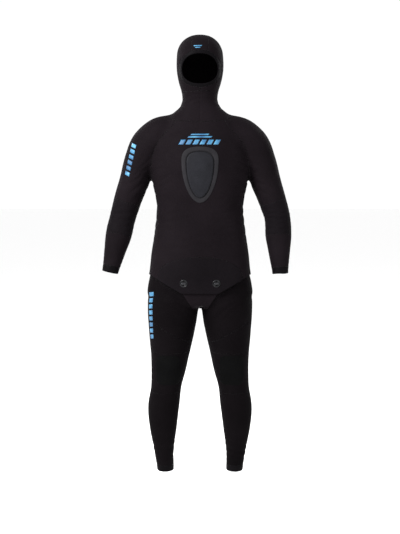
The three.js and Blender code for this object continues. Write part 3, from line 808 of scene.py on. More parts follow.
# ---------------------------------------------------------------- materials
class Nodes:
    """Short calls for a material's node tree."""

    def __init__(self, name):
        self.material = bpy.data.materials.new(name)
        self.material.use_nodes = True
        self.tree = self.material.node_tree
        self.shader = self.tree.nodes["Principled BSDF"]
        self.place = self.add("ShaderNodeTexCoord").outputs["Object"]

    def add(self, kind, **settings):
        node = self.tree.nodes.new(kind)
        for key, value in settings.items():
            setattr(node, key, value)
        return node

    def link(self, source, target):
        self.tree.links.new(source, target)

    def noise(self, scale, detail=3, roughness=0.55):
        node = self.add("ShaderNodeTexNoise")
        node.inputs["Scale"].default_value = scale
        node.inputs["Detail"].default_value = detail
        node.inputs["Roughness"].default_value = roughness
        self.link(self.place, node.inputs["Vector"])
        return node.outputs["Fac"]

    def wave(self, scale, direction, distortion=0.0):
        node = self.add("ShaderNodeTexWave", bands_direction=direction)
        node.inputs["Scale"].default_value = scale
        node.inputs["Distortion"].default_value = distortion
        node.inputs["Detail"].default_value = 1
        self.link(self.place, node.inputs["Vector"])
        return node.outputs["Fac"]

    def cells(self, scale):
        node = self.add("ShaderNodeTexVoronoi")
        node.inputs["Scale"].default_value = scale
        self.link(self.place, node.inputs["Vector"])
        return node.outputs["Distance"]

    def math(self, operation, a, b):
        node = self.add("ShaderNodeMath", operation=operation)
        for socket, value in zip(node.inputs, (a, b)):
            if isinstance(value, (int, float)):
                socket.default_value = value
            else:
                self.link(value, socket)
        return node.outputs[0]

    def uneven_ramp(self, source, middle, spread, low=0.3, high=0.7):
        """Grey from middle - spread to middle + spread, for a roughness."""
        return self.ramp(source, [(low, (middle - spread,) * 3), (high, (middle + spread,) * 3)])

    def ramp(self, source, stops):
        node = self.add("ShaderNodeValToRGB")
        elements = node.color_ramp.elements
        while len(elements) < len(stops):
            elements.new(0.5)
        for element, (place, color) in zip(elements, stops):
            element.position = place
            element.color = (*color, 1)
        self.link(source, node.inputs["Fac"])
        return node.outputs["Color"]

    def bump(self, height, strength, distance, under=None):
        node = self.add("ShaderNodeBump")
        node.inputs["Strength"].default_value = strength
        node.inputs["Distance"].default_value = distance
        self.link(height, node.inputs["Height"])
        if under is not None:
            self.link(under, node.inputs["Normal"])
        return node.outputs["Normal"]

    def set(self, **values):
        for key, value in values.items():
            self.shader.inputs[key.replace("_", " ")].default_value = value


def shade(color, by):
    return tuple(c * by for c in color)


WAVE_SCALE = 6.283


def jersey(name, color, rib=900.0, roughness=0.7, spread=0.35):
    """Knitted nylon on neoprene: fine ribs of stitches, soft sheen, slightly uneven dye."""
    n = Nodes(name)
    uneven = n.math("ADD", n.noise(6, 4), n.math("MULTIPLY", n.noise(260, 2), 0.35))
    stops = [(0.35, shade(color, 1 - spread)), (0.95, shade(color, 1 + spread))]
    n.link(n.ramp(uneven, stops), n.shader.inputs["Base Color"])
    n.link(n.uneven_ramp(n.noise(40, 3), roughness, 0.08), n.shader.inputs["Roughness"])
    ribs = rib / WAVE_SCALE
    knit = n.math("MULTIPLY", n.wave(ribs, "Z", 0.6), n.wave(ribs, "X", 0.6))
    coarse = n.bump(n.noise(55, 4), 0.35, 0.0012)
    n.link(n.bump(knit, 0.35, 0.0004, coarse), n.shader.inputs["Normal"])
    n.set(Sheen_Weight=0.006, Sheen_Roughness=0.4, Specular_IOR_Level=0.015)
    n.shader.inputs["Sheen Tint"].default_value = (0.9, 0.86, 0.92, 1)
    return n.material


def rubber(name, color, roughness, grain=700, strength=0.25, spread=0.2, gloss=0.08):
    """Smooth or grained rubber."""
    n = Nodes(name)
    stops = [(0.3, shade(color, 1 - spread)), (0.7, shade(color, 1 + spread))]
    n.link(n.ramp(n.noise(18, 4), stops), n.shader.inputs["Base Color"])
    n.link(n.uneven_ramp(n.noise(60, 3), roughness, 0.06), n.shader.inputs["Roughness"])
    soft = n.bump(n.noise(45, 3), 0.2, 0.0008)
    n.link(n.bump(n.cells(grain), strength, 0.0003, soft), n.shader.inputs["Normal"])
    n.set(Specular_IOR_Level=gloss)
    return n.material


def plastic(name, color, roughness):
    """Moulded plastic, and thread."""
    n = Nodes(name)
    stops = [(0.3, shade(color, 0.85)), (0.7, shade(color, 1.15))]
    n.link(n.ramp(n.noise(90, 3), stops), n.shader.inputs["Base Color"])
    rough = n.uneven_ramp(n.noise(150, 3), roughness + 0.01, 0.06)
    n.link(rough, n.shader.inputs["Roughness"])
    n.link(n.bump(n.noise(1400, 2), 0.12, 0.0001), n.shader.inputs["Normal"])
    n.set(Specular_IOR_Level=0.22)
    return n.material


def mark_ink(name):
    """Blue print, paler in soft patches."""
    n = Nodes(name)
    spot = n.math("ADD", n.noise(30, 2), n.math("MULTIPLY", n.noise(600, 2), 0.2))
    stops = [
        (0.3, (0.006, 0.030, 0.090)), (0.55, (0.012, 0.090, 0.190)), (0.9, (0.060, 0.230, 0.360)),
    ]
    n.link(n.ramp(spot, stops), n.shader.inputs["Base Color"])
    n.link(n.uneven_ramp(n.noise(80, 2), 0.51, 0.09), n.shader.inputs["Roughness"])
    n.link(n.bump(n.noise(700, 2), 0.15, 0.0002), n.shader.inputs["Normal"])
    return n.material


BLACK = (0.0050, 0.0037, 0.0046)
SHADED_TROUSER_BLACK = (0.0024, 0.0018, 0.0022)  # the trousers' cloth, darker than the jacket's same cloth: painted shade on the legs
STRETCH_RIB = 700
MATERIALS = {
    "neoprene_jersey": jersey("neoprene_jersey", BLACK),
    "stretch_jersey": jersey("stretch_jersey", (0.0043, 0.0034, 0.0042), STRETCH_RIB),
    "smooth_skin": rubber("smooth_skin", (0.0026, 0.0022, 0.0027), 0.55, gloss=0.02),
    "knee_print": rubber("knee_print", (0.0018, 0.0018, 0.0019), 0.62, 420, 0.45, gloss=0.015),
    "pad_rubber": rubber("pad_rubber", (0.0072, 0.0073, 0.0094), 0.6, 520, 0.4),
    "black_plastic": plastic("black_plastic", (0.005, 0.005, 0.006), 0.27),
    "grey_plastic": plastic("grey_plastic", (0.016, 0.016, 0.018), 0.28),
}
# darker copies of the jacket's jersey for the trousers, as painted shade on the legs
SHADED_TROUSER_LOOKS = {
    "neoprene_jersey": jersey("trouser_jersey_painted_shade", SHADED_TROUSER_BLACK),
    "stretch_jersey": jersey("trouser_stretch_jersey_painted_shade", SHADED_TROUSER_BLACK, STRETCH_RIB),
}
PAD_BORDER_COLOR = (0.0125, 0.0118, 0.0135)
PAD_BORDER_RUBBER = rubber("pad_border_rubber", PAD_BORDER_COLOR, 0.62, 420, 0.4, gloss=0.05)
MARK_INK = mark_ink("blue_print")
JACKET_THREAD = plastic("sewing_thread", (0.0080, 0.0070, 0.0080), 0.7)
# the trousers' thread is darker than the jacket's, as painted shade on the legs
SHADED_TROUSER_THREAD = plastic("trouser_thread_painted_shade", (0.0035, 0.0030, 0.0035), 0.8)


# ---------------------------------------------------------------- how panels move
def blend_ends(node):
    """The two bodies that a stretching panel joins, and where its bending starts and ends."""
    if node == "neck_collar":
        up = Vector((0, -0.371, 0.928))  # along the leaning neck
        return "suit", "hood", up * 0.0019, up * 0.049
    name = node.split("_")[0]
    side = SIDES[name]
    if node.endswith("groin_panel"):
        crotch = Vector((0, 0, -0.722))
        down = Vector((side * 0.5776, 0, -1)).normalized()  # across the panel, out of the crotch
        return "suit", f"{name}_thigh", crotch + down * 0.004, crotch + down * 0.146
    if node.endswith("elbow_panel"):
        rows = sleeve_rows(name)
        above = rows[5, :3] * 0.9 + rows[6, :3] * 0.1
        below = rows[6, :3] * 0.06 + rows[7, :3] * 0.94
        return "suit", f"{name}_forearm", Vector(in_frame(above)), Vector(in_frame(below))
    x = side * 0.123
    return f"{name}_thigh", f"{name}_shin", Vector((x, 0, -0.914)), Vector((x, 0, -1.066))


def both_sides(*parts):
    return [f"{name}_{part}" for name in SIDES for part in parts]


STRETCHING = ["neck_collar", *both_sides("elbow_panel", "groin_panel", "knee_panel")]


def place(piece, node):
    """Moves piece with its CAD node's body. A stretching panel or a knee pad is left unattached,
    baked where it stands; its blend ends are looked up but not used.
    """
    if node in STRETCHING or node.endswith("knee_pad"):
        first, second, start, end = blend_ends(node)
        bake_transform(piece)
    else:
        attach(piece, BODY_OF[node])


def make_panels(skin, labels, nodes, outer, normals, looks):
    """One closed piece for each node. Looks holds materials that stand in for their slots'."""
    _, _, open_edges = shared_edges(skin.triangles, labels)
    open_points = np.zeros(len(outer), bool)
    open_points[open_edges.ravel()] = True
    for k, node in enumerate(nodes):
        mine = skin.triangles[labels == k]
        mesh = shell_mesh(f"{node}_cloth", outer, normals, mine, open_points, NEOPRENE)
        piece = add_object(f"{node}_cloth", mesh)
        finish_as(piece, SLOT_OF[node], looks.get(SLOT_OF[node]))
        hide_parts(node)
        place(piece, node)


# ---------------------------------------------------------------- the jacket
JACKET_NODES = [
    "neck_collar",
    "face_seal",
    "hood_crown_strip",
    "hood_right_panel",
    "hood_left_panel",
    "right_side_panel",
    "left_side_panel",
    "back_panel",
    "chest_panel",
    "stomach_panel",
    *both_sides("upper_sleeve", "elbow_panel", "forearm_sleeve", "wrist_cuff"),
]
TROUSER_NODES = [
    "trouser_waistband",
    "trouser_front",
    "trouser_seat",
    *both_sides("groin_panel", "thigh_panel", "knee_panel", "shin_panel", "ankle_cuff"),
]
EYELETS = {n: (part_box(f"{n}_eyelet")[0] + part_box(f"{n}_eyelet")[1]) / 2 for n in SIDES}
EYELET_HOLE = 0.0112
TAB_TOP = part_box("tail")[1].z


def smooth_skin(bodies, creases):
    """One skin round overlapping bodies, with rounded creases: (points, triangles, edges)."""
    points, triangles = fused(bodies)
    edges = edges_of(triangles)
    for _ in range(SKIN_SMOOTHING):
        points = relaxed(points, edges, 1, 0.5)
        points = relaxed(points, edges, 1, -0.52)
    for centre, radius in creases:
        mask = near(points, centre, radius)
        for _ in range(CREASE_SMOOTHING):
            points += 0.5 * mask * (neighbour_mean(points, edges, len(points)) - points)
    return points, triangles, edges


def split_by_nodes(skin, nodes, edges):
    """Cuts the skin along the seams: each field is how far a point is outside one CAD panel."""
    squares = np.stack([distances(skin.points, n) ** 2 for n in nodes], axis=1)
    fields = np.empty_like(squares)
    for k in range(len(nodes)):
        gap = squares[:, k] - np.delete(squares, k, axis=1).min(axis=1)
        fields[:, k] = np.sign(gap) * np.sqrt(np.abs(gap))
    skin.values["field"] = relaxed(fields, edges, SEAM_SMOOTHING)
    for k in range(len(nodes)):
        others = np.delete(skin.values["field"], k, axis=1).min(axis=1)
        skin.values["seam"] = skin.values["field"][:, k] - others
        skin.cut("seam")


def off_the_pad(points):
    """0 under the chest pad and the front tab's eyelets, 1 well away from them."""
    low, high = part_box("chest_pad_border")
    middle, half = (low + high) / 2, (high - low) / 2
    away = np.hypot((points[:, 0] - middle.x) / half.x, (points[:, 2] - middle.z) / half.z)
    on_pad = np.where(points[:, 1] < 0, np.clip((away - 1) / 0.25, 0, 1), 1)
    on_tab = np.where(points[:, 1] < 0, np.clip((points[:, 2] - TAB_TOP) / 0.03, 0.12, 1), 1)
    return on_pad * on_tab


GRAIN = 0.0011  # the height of the cloth's soft unevenness


def displaced(skin, folds, quiet):
    """Each point's normal, and its height by folds and by soft unevenness, less where quiet."""
    normals = steadied(vertex_normals(skin.points, skin.triangles), skin.triangles)
    height = fold_field(skin.points, folds)
    height += cloth_noise(skin.points, 9, GRAIN) + cloth_noise(skin.points, 28, 0.3 * GRAIN)
    return normals, height * quiet(skin.points)


TRUNK_SQUARENESS = 2.3


def jacket():
    bodies = [loft(trunk_rows(), True, TRUNK_SQUARENESS, around=132, per_span=6)]
    for name in SIDES:
        bodies.append(loft(sleeve_rows(name), False, around=84))
    creases = []
    for side in SIDES.values():
        creases += [(at(side * 180, 0, 1318), 0.075), (at(side * 120, -70, 1420), 0.06)]
        creases += [(at(side * 120, 80, 1420), 0.06), (at(side * 130, 0, 1485), 0.07)]
    points, triangles, edges = smooth_skin(bodies, creases)
    skin = Skin(points, triangles)
    split_by_nodes(skin, JACKET_NODES, edges)
    skin.values["middle"] = skin.points[:, 0].copy()
    skin.cut("middle")
    drop_past(skin, face_opening)
    drop_past(skin, below_hem)
    for name in SIDES:
        drop_past(skin, lambda p, n=name: mount_plane(p, f"{n}_wrist_hem", CLEAR_OF_TRUNK))
        centre = EYELETS[name]

        def hole(p, c=centre):
            flat = np.hypot(p[:, 0] - c.x, p[:, 2] - c.z)
            return np.where(p[:, 1] < 0, EYELET_HOLE - flat, WELL_INSIDE)

        drop_past(skin, hole)
    return skin


def trousers():
    bodies = [loft(pelvis_rows(), True, TRUNK_SQUARENESS, around=132, per_span=6)]
    for side in SIDES.values():
        bodies.append(loft(leg_rows(side), True))
    creases = [(at(0, 0, 775), 0.06), (at(0, -70, 800), 0.08), (at(0, 80, 790), 0.09)]
    points, triangles, edges = smooth_skin(bodies, creases)
    skin = Skin(points, triangles)
    split_by_nodes(skin, TROUSER_NODES, edges)
    drop_past(skin, lambda p: p[:, 2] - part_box("trouser_waistband")[1].z)
    for name in SIDES:
        drop_past(skin, lambda p, n=name: mount_plane(p, f"{n}_ankle_hem"))
    return skin


def nearest_panel(skin):
    """Each triangle's panel, as a place in the list of nodes that the skin was split by."""
    return skin.values["field"][skin.triangles].mean(axis=1).argmin(axis=1)


# ---------------------------------------------------------------- pieces that lie on a skin
class Surface:
    """A skin that other pieces are laid on, by lines that are drawn onto it."""

    def __init__(self, points, triangles):
        self.points = points
        self.triangles = triangles
        self.normals = vertex_normals(points, triangles)
        self.tree = BVHTree.FromPolygons(points.tolist(), triangles.tolist())

    def seat(self, starts, direction):
        """Where lines from each start along direction first meet the skin, and its normals."""
        places, ups = [], []
        for i, start in enumerate(starts):
            aim = Vector(direction[i] if np.ndim(direction) > 1 else direction)
            hit, _, face, _ = self.tree.ray_cast(Vector(start), aim)
            if hit is None:
                hit, _, face, _ = self.tree.find_nearest(Vector(start))
            corners = self.triangles[face]
            a, b, c = self.points[corners]
            p = np.array(hit)
            weights = np.array(
                [
                    np.linalg.norm(np.cross(b - p, c - p)),
                    np.linalg.norm(np.cross(c - p, a - p)),
                    np.linalg.norm(np.cross(a - p, b - p)),
                ]
            )
            up = (weights / weights.sum()) @ self.normals[corners]
            places.append(p)
            ups.append(up / np.linalg.norm(up))
        return np.array(places), np.array(ups)


BACKWARDS = (0, 1, 0)  # the way that a line from the front runs
PAD_LIFT = 0.0001  # from the skin to a pad's underside


def ring_piece(name, rings, heights, surface):
    """A closed pad on a skin: rings of (x, z) from its outline inwards, and their heights."""
    rows, around = rings.shape[:2]
    flat = rings.reshape(-1, 2)
    starts = np.stack([flat[:, 0], np.full(len(flat), -0.4), flat[:, 1]], 1)
    places, ups = surface.seat(starts, BACKWARDS)
    top = places + ups * heights.reshape(-1, 1)
    low = places + ups * PAD_LIFT
    faces = []
    base = rows * around
    for r in range(0, base - around, around):
        faces += band(r, r + around, around)
        faces += [face[::-1] for face in band(r + base, r + base + around, around)]
    faces += [face[::-1] for face in band(0, base, around)]
    last = (rows - 1) * around
    faces.append(tuple(range(last, last + around)))
    faces.append(tuple(reversed(range(last + base, last + base + around))))
    return add_object(name, new_mesh(name, np.vstack([top, low]), faces))


PAD_LOW, PAD_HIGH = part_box("chest_pad_border")
CUSHION_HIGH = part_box("chest_pad_cushion")[1]
PAD_BORDER = PAD_HIGH.z - CUSHION_HIGH.z
PAD_AROUND = 168
PAD_RIB_PITCH = 0.0052
KNEE_DIAMOND = 0.011
KNEE_SQUARENESS = 5.5


def shield(inset):
    """The chest pad's outline, drawn in by inset: (x, z) anticlockwise from its top."""
    half, top, bottom = PAD_HIGH.x - inset, PAD_HIGH.z - inset, PAD_LOW.z + inset
    widest = top - (top - bottom) * 0.24
    shoulder, side, foot = top - (top - widest) * 0.4, bottom + (widest - bottom) * 0.45, half * 0.5
    curves = [
        [(0, top), (half * 0.8, top), (half, shoulder), (half, widest)],
        [(half, widest), (half, side), (foot, bottom), (0, bottom)],
    ]
    points = []
    for curve, count in zip(curves, (PAD_AROUND // 6, PAD_AROUND // 3)):
        t = np.linspace(0, 1, count, endpoint=False)[:, None]
        u = 1 - t
        p0, p1, p2, p3 = map(np.array, curve)
        points.append(u**3 * p0 + 3 * t * u**2 * p1 + 3 * t * t * u * p2 + t**3 * p3)
    right = np.vstack(points)
    left = right[1:][::-1] * (-1, 1)
    lowest = np.array([[0, bottom]])
    return np.vstack([right, lowest, left])


def chest_pad(surface):
    depths = np.array([0, 0.0006, 0.0016, 0.004, 0.008, 0.0125, 0.0150, 0.0160, 0.0166])
    rise = np.array([0.0003, 0.0014, 0.0019, 0.0022, 0.0023, 0.0022, 0.0019, 0.0012, 0.0003])
    rings = np.stack([shield(d) for d in depths])[:, ::-1]
    heights = np.repeat(rise[:, None], rings.shape[1], 1)
    border = ring_piece("chest_pad_border_rubber", rings, heights, surface)
    finish_as(border, "pad_rubber", PAD_BORDER_RUBBER)
    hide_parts("chest_pad_border")
    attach(border, "suit")

    outline = shield(PAD_BORDER + 0.0014)[::-1]
    centre = outline.mean(axis=0)
    shares = 1 - np.concatenate([[0, 0.008, 0.02, 0.04, 0.065], np.linspace(0.1, 0.985, 44)])
    rings = centre + (outline - centre) * shares[:, None, None]
    inward = np.linalg.norm(outline - centre, axis=1)[None, :] * (1 - shares[:, None])
    shoulder = np.clip(inward / 0.007, 0, 1)
    heights = 0.0006 + 0.0054 * np.sqrt(1 - (1 - shoulder) ** 2)
    heights += 0.0014 * np.clip(inward / 0.035, 0, 1) ** 0.8
    ribs = 0.5 + 0.5 * np.cos(2 * math.pi * rings[:, :, 1] / PAD_RIB_PITCH)
    heights -= 0.00075 * (1 - ribs) ** 1.5 * np.clip(inward / 0.006 - 0.6, 0, 1)
    cushion = ring_piece("chest_pad_cushion_rubber", rings, heights, surface)
    finish_as(cushion, "pad_rubber")
    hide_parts("chest_pad_cushion")
    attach(cushion, "suit")


def knee_pad(name, surface):
    low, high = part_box(f"{name}_knee_pad")
    middle = np.array([(low.x + high.x) / 2, (low.z + high.z) / 2])
    half = np.array([(high.x - low.x) / 2, (high.z - low.z) / 2]) - 0.001
    angle = np.linspace(0, 2 * math.pi, 120, endpoint=False)
    outline = np.stack(superellipse(angle, KNEE_SQUARENESS), 1)
    shares = 1 - np.concatenate([[0, 0.012, 0.03, 0.055], np.linspace(0.08, 0.98, 30)])
    rings = middle + outline * half * shares[:, None, None]
    inward = half.min() * (1 - shares[:, None]) * np.ones(len(angle))
    heights = 0.0002 + 0.0009 * np.sqrt(1 - (1 - np.clip(inward / 0.002, 0, 1)) ** 2)
    across = (rings[:, :, 0] - middle[0]) / KNEE_DIAMOND
    up = (rings[:, :, 1] - middle[1]) / KNEE_DIAMOND
    diamonds = sum(np.abs((slant / 2) % 1 - 0.5) for slant in (across + up, across - up))
    grooves = np.clip(1 - np.abs(diamonds - 0.5) / 0.14, 0, 1)
    heights -= 0.0004 * grooves * np.clip(inward / 0.004 - 0.8, 0, 1)
    pad = ring_piece(f"{name}_knee_pad_print", rings, heights, surface)
    finish_as(pad, "knee_print")
    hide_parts(f"{name}_knee_pad")
    place(pad, f"{name}_knee_pad")


# ---------------------------------------------------------------- the tail
TAIL_HALF_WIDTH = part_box("tail")[1].x
TAIL_NECK_HALF_WIDTH = 0.025
TAIL_BOTTOM = 0.772 + GROUND


def past_tail(points):
    """Above zero past the tail's edges."""
    rise = (points[:, 2] - TAIL_BOTTOM) / (HEM_FRONT - TAIL_BOTTOM)
    half = TAIL_NECK_HALF_WIDTH + np.clip(rise, -0.2, 1) * (TAIL_HALF_WIDTH - TAIL_NECK_HALF_WIDTH)
    top = np.where(points[:, 1] < 0, TAB_TOP, HEM_FRONT - 0.0004)
    height = points[:, 2]
    return np.maximum.reduce([np.abs(points[:, 0]) - half, height - top, TAIL_BOTTOM - height])


def under_tail(points):
    """0 where the tail lies on the trousers, 1 well away from it."""
    return np.clip(past_tail(points) / 0.02, 0, 1)


def tail(points, triangles):
    """The tail, on the trousers' skin under the front tab and back through the crotch."""
    lifted = points + vertex_normals(points, triangles) * (LAYER_GAP + TAIL_THICKNESS)
    edges = edges_of(triangles)
    mask = (near(lifted, at(0, 0, 800), 0.16) > 0).astype(float)
    for _ in range(4):
        lifted += 0.5 * mask * (neighbour_mean(lifted, edges, len(lifted)) - lifted)
    skin = Skin(lifted, triangles)
    drop_past(skin, past_tail)
    normals = vertex_normals(skin.points, skin.triangles)
    hems = np.ones(len(skin.points), bool)
    mesh = shell_mesh("tail_cloth", skin.points, normals, skin.triangles, hems, TAIL_THICKNESS)
    piece = add_object("tail_cloth", mesh)
    finish_as(piece, SLOT_OF["tail"])
    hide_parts("tail")
    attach(piece, BODY_OF["tail"])


# ---------------------------------------------------------------- turn buttons
BUTTON_AT = (0.060, -0.10115, 0.876 + GROUND)
BUTTON_SLOPE = 0.115415  # how far a button's axis leans out to its side
SLOT_SQUARENESS = 5
KNOB_SQUARENESS = 3.4


def button_axes(side):
    place_at = np.array([side * BUTTON_AT[0], BUTTON_AT[1], BUTTON_AT[2]])
    out = np.array([side * BUTTON_SLOPE, -math.sqrt(1 - BUTTON_SLOPE**2), 0])
    up = np.array([0, 0, 1.0])
    return place_at, np.cross(out, up), up, out


def lofted_ring(name, rows, axes, closed=True):
    """A ring-shaped or domed body from rows of (u, v, height) points around a button's axis."""
    origin, u, v, w = axes
    grid = np.array(rows)
    points = origin + grid[..., 0:1] * u + grid[..., 1:2] * v + grid[..., 2:3] * w
    count, around = grid.shape[:2]
    faces = []
    for r in range(count if closed else count - 1):
        faces += band(r * around, (r + 1) % count * around, around)
    if not closed:
        faces.append(tuple(reversed(range(around))))
        faces.append(tuple((count - 1) * around + i for i in range(around)))
    return add_object(name, new_mesh(name, points.reshape(-1, 3), faces))


BUTTON_ANGLES = 2 * math.pi * (np.arange(72) + 0.5) / 72


def section(half_u, half_v, height, squareness=2.0):
    """One row of points round a button's axis, from sizes in millimetres."""
    across, up = superellipse(BUTTON_ANGLES, squareness)
    flat = np.full(len(BUTTON_ANGLES), height)
    return np.stack([across * half_u, up * half_v, flat], 1) * 0.001


def buttons(name):
    axes = button_axes(SIDES[name])
    # the eyelet: its neck through the tab, a rounded flange, and the slot that the knob passes
    flange = [
        (14.1, 13.55), (14.5, 14.1), (14.5, 14.7), (14.2, 15.15), (13.6, 15.5), (12.8, 15.6),
        (12.0, 15.5), (11.4, 15.15), (11.1, 14.85),
    ]
    neck = [(10.9, 9.4), (10.9, 13.4)]
    slot = [(4.9, 9.9, 14.8), (4.65, 9.65, 14.6), (4.6, 9.6, 14.2), (4.6, 9.6, 9.4)]
    rows = [section(r, r, h) for r, h in neck + flange]
    rows += [section(*sizes, SLOT_SQUARENESS) for sizes in slot]
    eyelet = lofted_ring(f"{name}_eyelet_ring_top", rows, axes)
    finish_as(eyelet, "black_plastic")
    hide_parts(f"{name}_eyelet")
    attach(eyelet, BODY_OF[f"{name}_eyelet"])
    # the knob: a bar with a rounded top, which turns across the slot
    levels = [
        (0.6, 15.85), (0.1, 16.2), (0, 16.8), (0, 18.2), (0.3, 19.0), (0.9, 19.5), (1.9, 19.75),
    ]
    rows = [section(9 - inset, 4 - inset, h, KNOB_SQUARENESS) for inset, h in levels]
    knob = lofted_ring(f"{name}_knob_bar", rows, axes, closed=False)
    finish_as(knob, SLOT_OF[f"{name}_button_knob"])
    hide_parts(f"{name}_button_knob")
    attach(knob, BODY_OF[f"{name}_button_knob"])


# ---------------------------------------------------------------- printed marks
MARK_LIFT = 0.00035
MARK_DEPTH = 0.0002
MARK_STEP = 0.004


def slab(surface, start_at, aim_at, corners, steps):
    """A thin printed patch between four (u, v) corners: (points, faces)."""
    across, up = steps
    (a, b, c, d) = (np.array(p, float) for p in corners)
    starts, aims = [], []
    for j in range(up + 1):
        for i in range(across + 1):
            s, t = i / across, j / up
            u, v = (1 - t) * ((1 - s) * a + s * b) + t * ((1 - s) * d + s * c)
            starts.append(start_at(u, v))
            aims.append(aim_at(u, v))
    places, ups = surface.seat(starts, np.array(aims))
    count = len(places)
    points = np.vstack([places + ups * MARK_LIFT, places - ups * MARK_DEPTH])
    faces = []
    width = across + 1
    for j in range(up):
        for i in range(across):
            k = j * width + i
            faces.append((k, k + 1, k + width + 1, k + width))
            faces.append((k + width + count, k + width + 1 + count, k + 1 + count, k + count))
    grid = np.arange(count).reshape(up + 1, width)
    rim = [*grid[0], *grid[1:, -1], *grid[-1, -2::-1], *grid[-2:0:-1, 0]]
    for k, m in zip(rim, rim[1:] + rim[:1]):
        faces.append((m, k, k + count, m + count))
    return points, faces


def leaning_bars(left, right, low, high, count, gap, lean):
    """Corners of equal bars in a row, each leaning to the right at its top."""
    width = (right - left - gap * (count - 1)) / count
    bars = []
    for i in range(count):
        x = left + i * (width + gap)
        bars.append(((x, low), (x + width, low), (x + width + lean, high), (x + lean, high)))
    return bars


def mark(name, surface, start_at, aim_at, bars, steps=None):
    parts = []
    for corners in bars:
        a, b, c = (np.array(p) for p in corners[:3])
        fine = [max(2, int(np.linalg.norm(q - p) / MARK_STEP)) for p, q in ((a, b), (b, c))]
        parts.append(slab(surface, start_at, aim_at, corners, steps or fine))
    piece = add_object(name, new_mesh(name, *joined(parts)))
    finish_as(piece, "neoprene_jersey", MARK_INK)
    return piece


def from_front(u, v):
    return (u, -0.5, v + GROUND)


def backwards(u, v):
    return BACKWARDS


def front_marks(surface):
    chest = leaning_bars(-0.047, 0.041, 1.4190, 1.4245, 1, 0, 0.006)
    chest += leaning_bars(-0.036, 0.030, 1.4285, 1.4335, 1, 0, 0.006)
    chest += leaning_bars(-0.080, 0.068, 1.3935, 1.4115, 6, 0.008, 0.010)
    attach(mark("chest_mark", surface, from_front, backwards, chest), "suit")
    forehead = leaning_bars(-0.025, 0.005, 1.7530, 1.7566, 1, 0, 0.004)
    forehead += leaning_bars(-0.019, -0.001, 1.7462, 1.7498, 1, 0, 0.004)
    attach(mark("forehead_mark", surface, from_front, backwards, forehead), "hood")


def sleeve_mark(surface):
    """Bars down the right upper sleeve."""
    top, foot = np.array([-0.248, 1.400]), np.array([-0.281, 1.264])
    down = (foot - top) / np.linalg.norm(foot - top)
    right = np.array([-down[1], down[0]])

    def on_sleeve(u, v):
        x, z = top + down * v + right * u
        return (x, -0.4, z + GROUND)

    half, lean = 0.009, 0.004
    bars = [
        ((-half, v), (-half, v + 0.014), (half, v + 0.014 + lean), (half, v + lean))
        for v in np.arange(0, 0.125, 0.0215)
    ]
    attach(mark("right_sleeve_mark", surface, on_sleeve, backwards, bars), "suit")


def thigh_mark(surface):
    """Bars down the right thigh, placed by (angle from the side to the front, height)."""
    rows = leg_rows(SIDES["right"])

    def round_thigh(u, v):
        x, y = (np.interp(v * 1000, rows[:, 2], rows[:, k]) / 1000 for k in (0, 1))
        return (x - 0.2 * math.cos(u), y - 0.2 * math.sin(u), v + GROUND)

    def to_thigh(u, v):
        return (math.cos(u), math.sin(u), 0)

    middle, half = math.radians(29), math.radians(8)
    left, right = middle - half, middle + half
    bars = [
        ((left, v), (right, v + 0.004), (right, v + 0.020), (left, v + 0.016))
        for v in 0.652 + 0.0236 * np.arange(8)
    ]
    piece = mark("right_thigh_mark", surface, round_thigh, to_thigh, bars, steps=(9, 5))
    place(piece, "right_groin_panel")


# ---------------------------------------------------------------- stitches
def chains(pairs):
    """Edges joined end to end: lists of point numbers."""
    links = {}
    for a, b in pairs:
        links.setdefault(a, []).append(b)
        links.setdefault(b, []).append(a)
    used = set()
    out = []
    starts = [p for p, others in links.items() if len(others) != 2] + list(links)
    for start in starts:
        for other in links[start]:
            if (start, other) in used:
                continue
            chain, here, before = [start, other], other, start
            used |= {(start, other), (other, start)}
            while len(links[here]) == 2 and here != start:
                after = [p for p in links[here] if p != before]
                if not after or (here, after[0]) in used:
                    break
                used |= {(here, after[0]), (after[0], here)}
                chain.append(after[0])
                before, here = here, after[0]
            out.append(chain)
    return out


def resampled(points, step):
    gaps = np.linalg.norm(np.diff(points, axis=0), axis=1)
    along = np.concatenate([[0], np.cumsum(gaps)])
    count = int(along[-1] / step)
    if count < 2:
        return None
    t = np.linspace(0, along[-1], count + 1)
    return np.stack([np.interp(t, along, points[:, k]) for k in range(3)], 1)


def zigzag(path, normals):
    """The path of a thread that crosses a seam to and fro."""
    side = unit(np.cross(normals, np.gradient(path, axis=0)))
    swing = np.where(np.arange(len(path)) % 2 == 0, 1, -1)[:, None]
    return path + side * swing * STITCH_HALF_WIDTH


def thread_mesh(name, lines):
    """Thin four-sided threads along each line of points."""
    points, faces, base = [], [], 0
    for line, ups in lines:
        side = unit(np.cross(ups, unit(np.gradient(line, axis=0))))
        ring = [line + way * THREAD_RADIUS for way in (side, ups, -side, -ups)]
        points.append(np.stack(ring, 1).reshape(-1, 3))
        count = len(line)
        for start in range(base, base + 4 * (count - 1), 4):
            faces += band(start, start + 4, 4)
        faces.append((base + 3, base + 2, base + 1, base))
        faces.append(tuple(base + 4 * (count - 1) + i for i in range(4)))
        base += 4 * count
    return new_mesh(name, np.vstack(points), faces)


def seam_body(first, second):
    """The body that a seam's thread rides on."""
    firm = [n for n in (first, second) if n not in STRETCHING]
    return BODY_OF[firm[0] if firm else first]


LEAST_TO_SMOOTH = 6


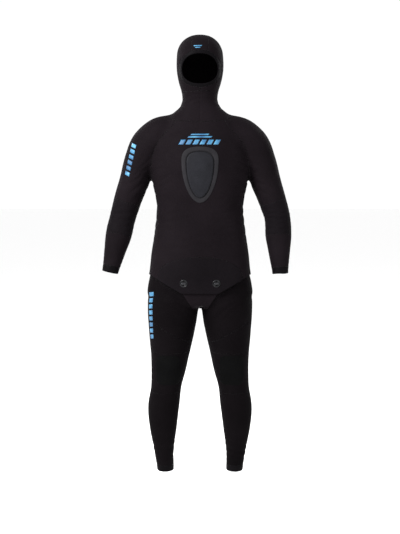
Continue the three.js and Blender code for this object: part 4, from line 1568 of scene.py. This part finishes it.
def stitches(prefix, skin, labels, nodes, outer, thread):
    """Threads along the seams between panels, one piece for each body that they ride on."""
    seams, owners, _ = shared_edges(skin.triangles, labels)
    normals = vertex_normals(outer, skin.triangles)
    owners = np.sort(owners, axis=1)
    lines = {}
    for a, b in np.unique(owners, axis=0):
        body = seam_body(nodes[a], nodes[b])
        for chain in chains(seams[(owners == (a, b)).all(axis=1)].tolist()):
            path, ups = outer[chain], normals[chain]
            if len(path) > LEAST_TO_SMOOTH:
                for _ in range(3):
                    path[1:-1] += 0.5 * ((path[2:] + path[:-2]) / 2 - path[1:-1])
            fine = resampled(path, STITCH_STEP / 2)
            if fine is None:
                continue
            tree = point_tree(path)
            up = np.array([ups[tree.find(p)[1]] for p in fine])
            lines.setdefault(body, []).append((zigzag(fine, up) + up * STITCH_LIFT, up))
    for body, threads in sorted(lines.items()):
        name = f"{prefix}_stitches_{body}"
        piece = add_object(name, thread_mesh(name, threads))
        piece.data.materials.append(thread)
        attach(piece, body)


# ---------------------------------------------------------------- the whole suit
make_camera()
make_light()
make_floor()
bpy.context.scene.view_settings.view_transform = "Standard"  # which keeps black cloth black

jacket_skin = jacket()
jacket_labels, jacket_dip = stitched(jacket_skin, chin_seam(jacket_skin))
jacket_normals, jacket_height = displaced(jacket_skin, jacket_folds(), off_the_pad)
jacket_outer = jacket_skin.points + jacket_normals * (jacket_height - jacket_dip)[:, None]
make_panels(jacket_skin, jacket_labels, JACKET_NODES, jacket_outer, jacket_normals, {})
jacket_surface = Surface(jacket_outer, jacket_skin.triangles)

trouser_skin = trousers()
tail(trouser_skin.points, trouser_skin.triangles)
trouser_labels, trouser_dip = stitched(trouser_skin)
trouser_normals, trouser_height = displaced(trouser_skin, trouser_folds(), under_tail)
trouser_outer = trouser_skin.points + trouser_normals * (trouser_height - trouser_dip)[:, None]
make_panels(
    trouser_skin, trouser_labels, TROUSER_NODES, trouser_outer, trouser_normals, SHADED_TROUSER_LOOKS
)
trouser_surface = Surface(trouser_outer, trouser_skin.triangles)

chest_pad(jacket_surface)
for name in SIDES:
    knee_pad(name, trouser_surface)
    buttons(name)
front_marks(jacket_surface)
sleeve_mark(jacket_surface)
thigh_mark(trouser_surface)
stitches("jacket", jacket_skin, jacket_labels, JACKET_NODES, jacket_outer, JACKET_THREAD)
stitches("trouser", trouser_skin, trouser_labels, TROUSER_NODES, trouser_outer, SHADED_TROUSER_THREAD)

# these keep their CAD shape
for node in ("button_plate", "button_pin", "eyelet_ring"):
    for name in SIDES:
        paint(frame["nodes"][f"{name}_{node}"], MATERIALS[SLOT_OF[f"{name}_{node}"]])
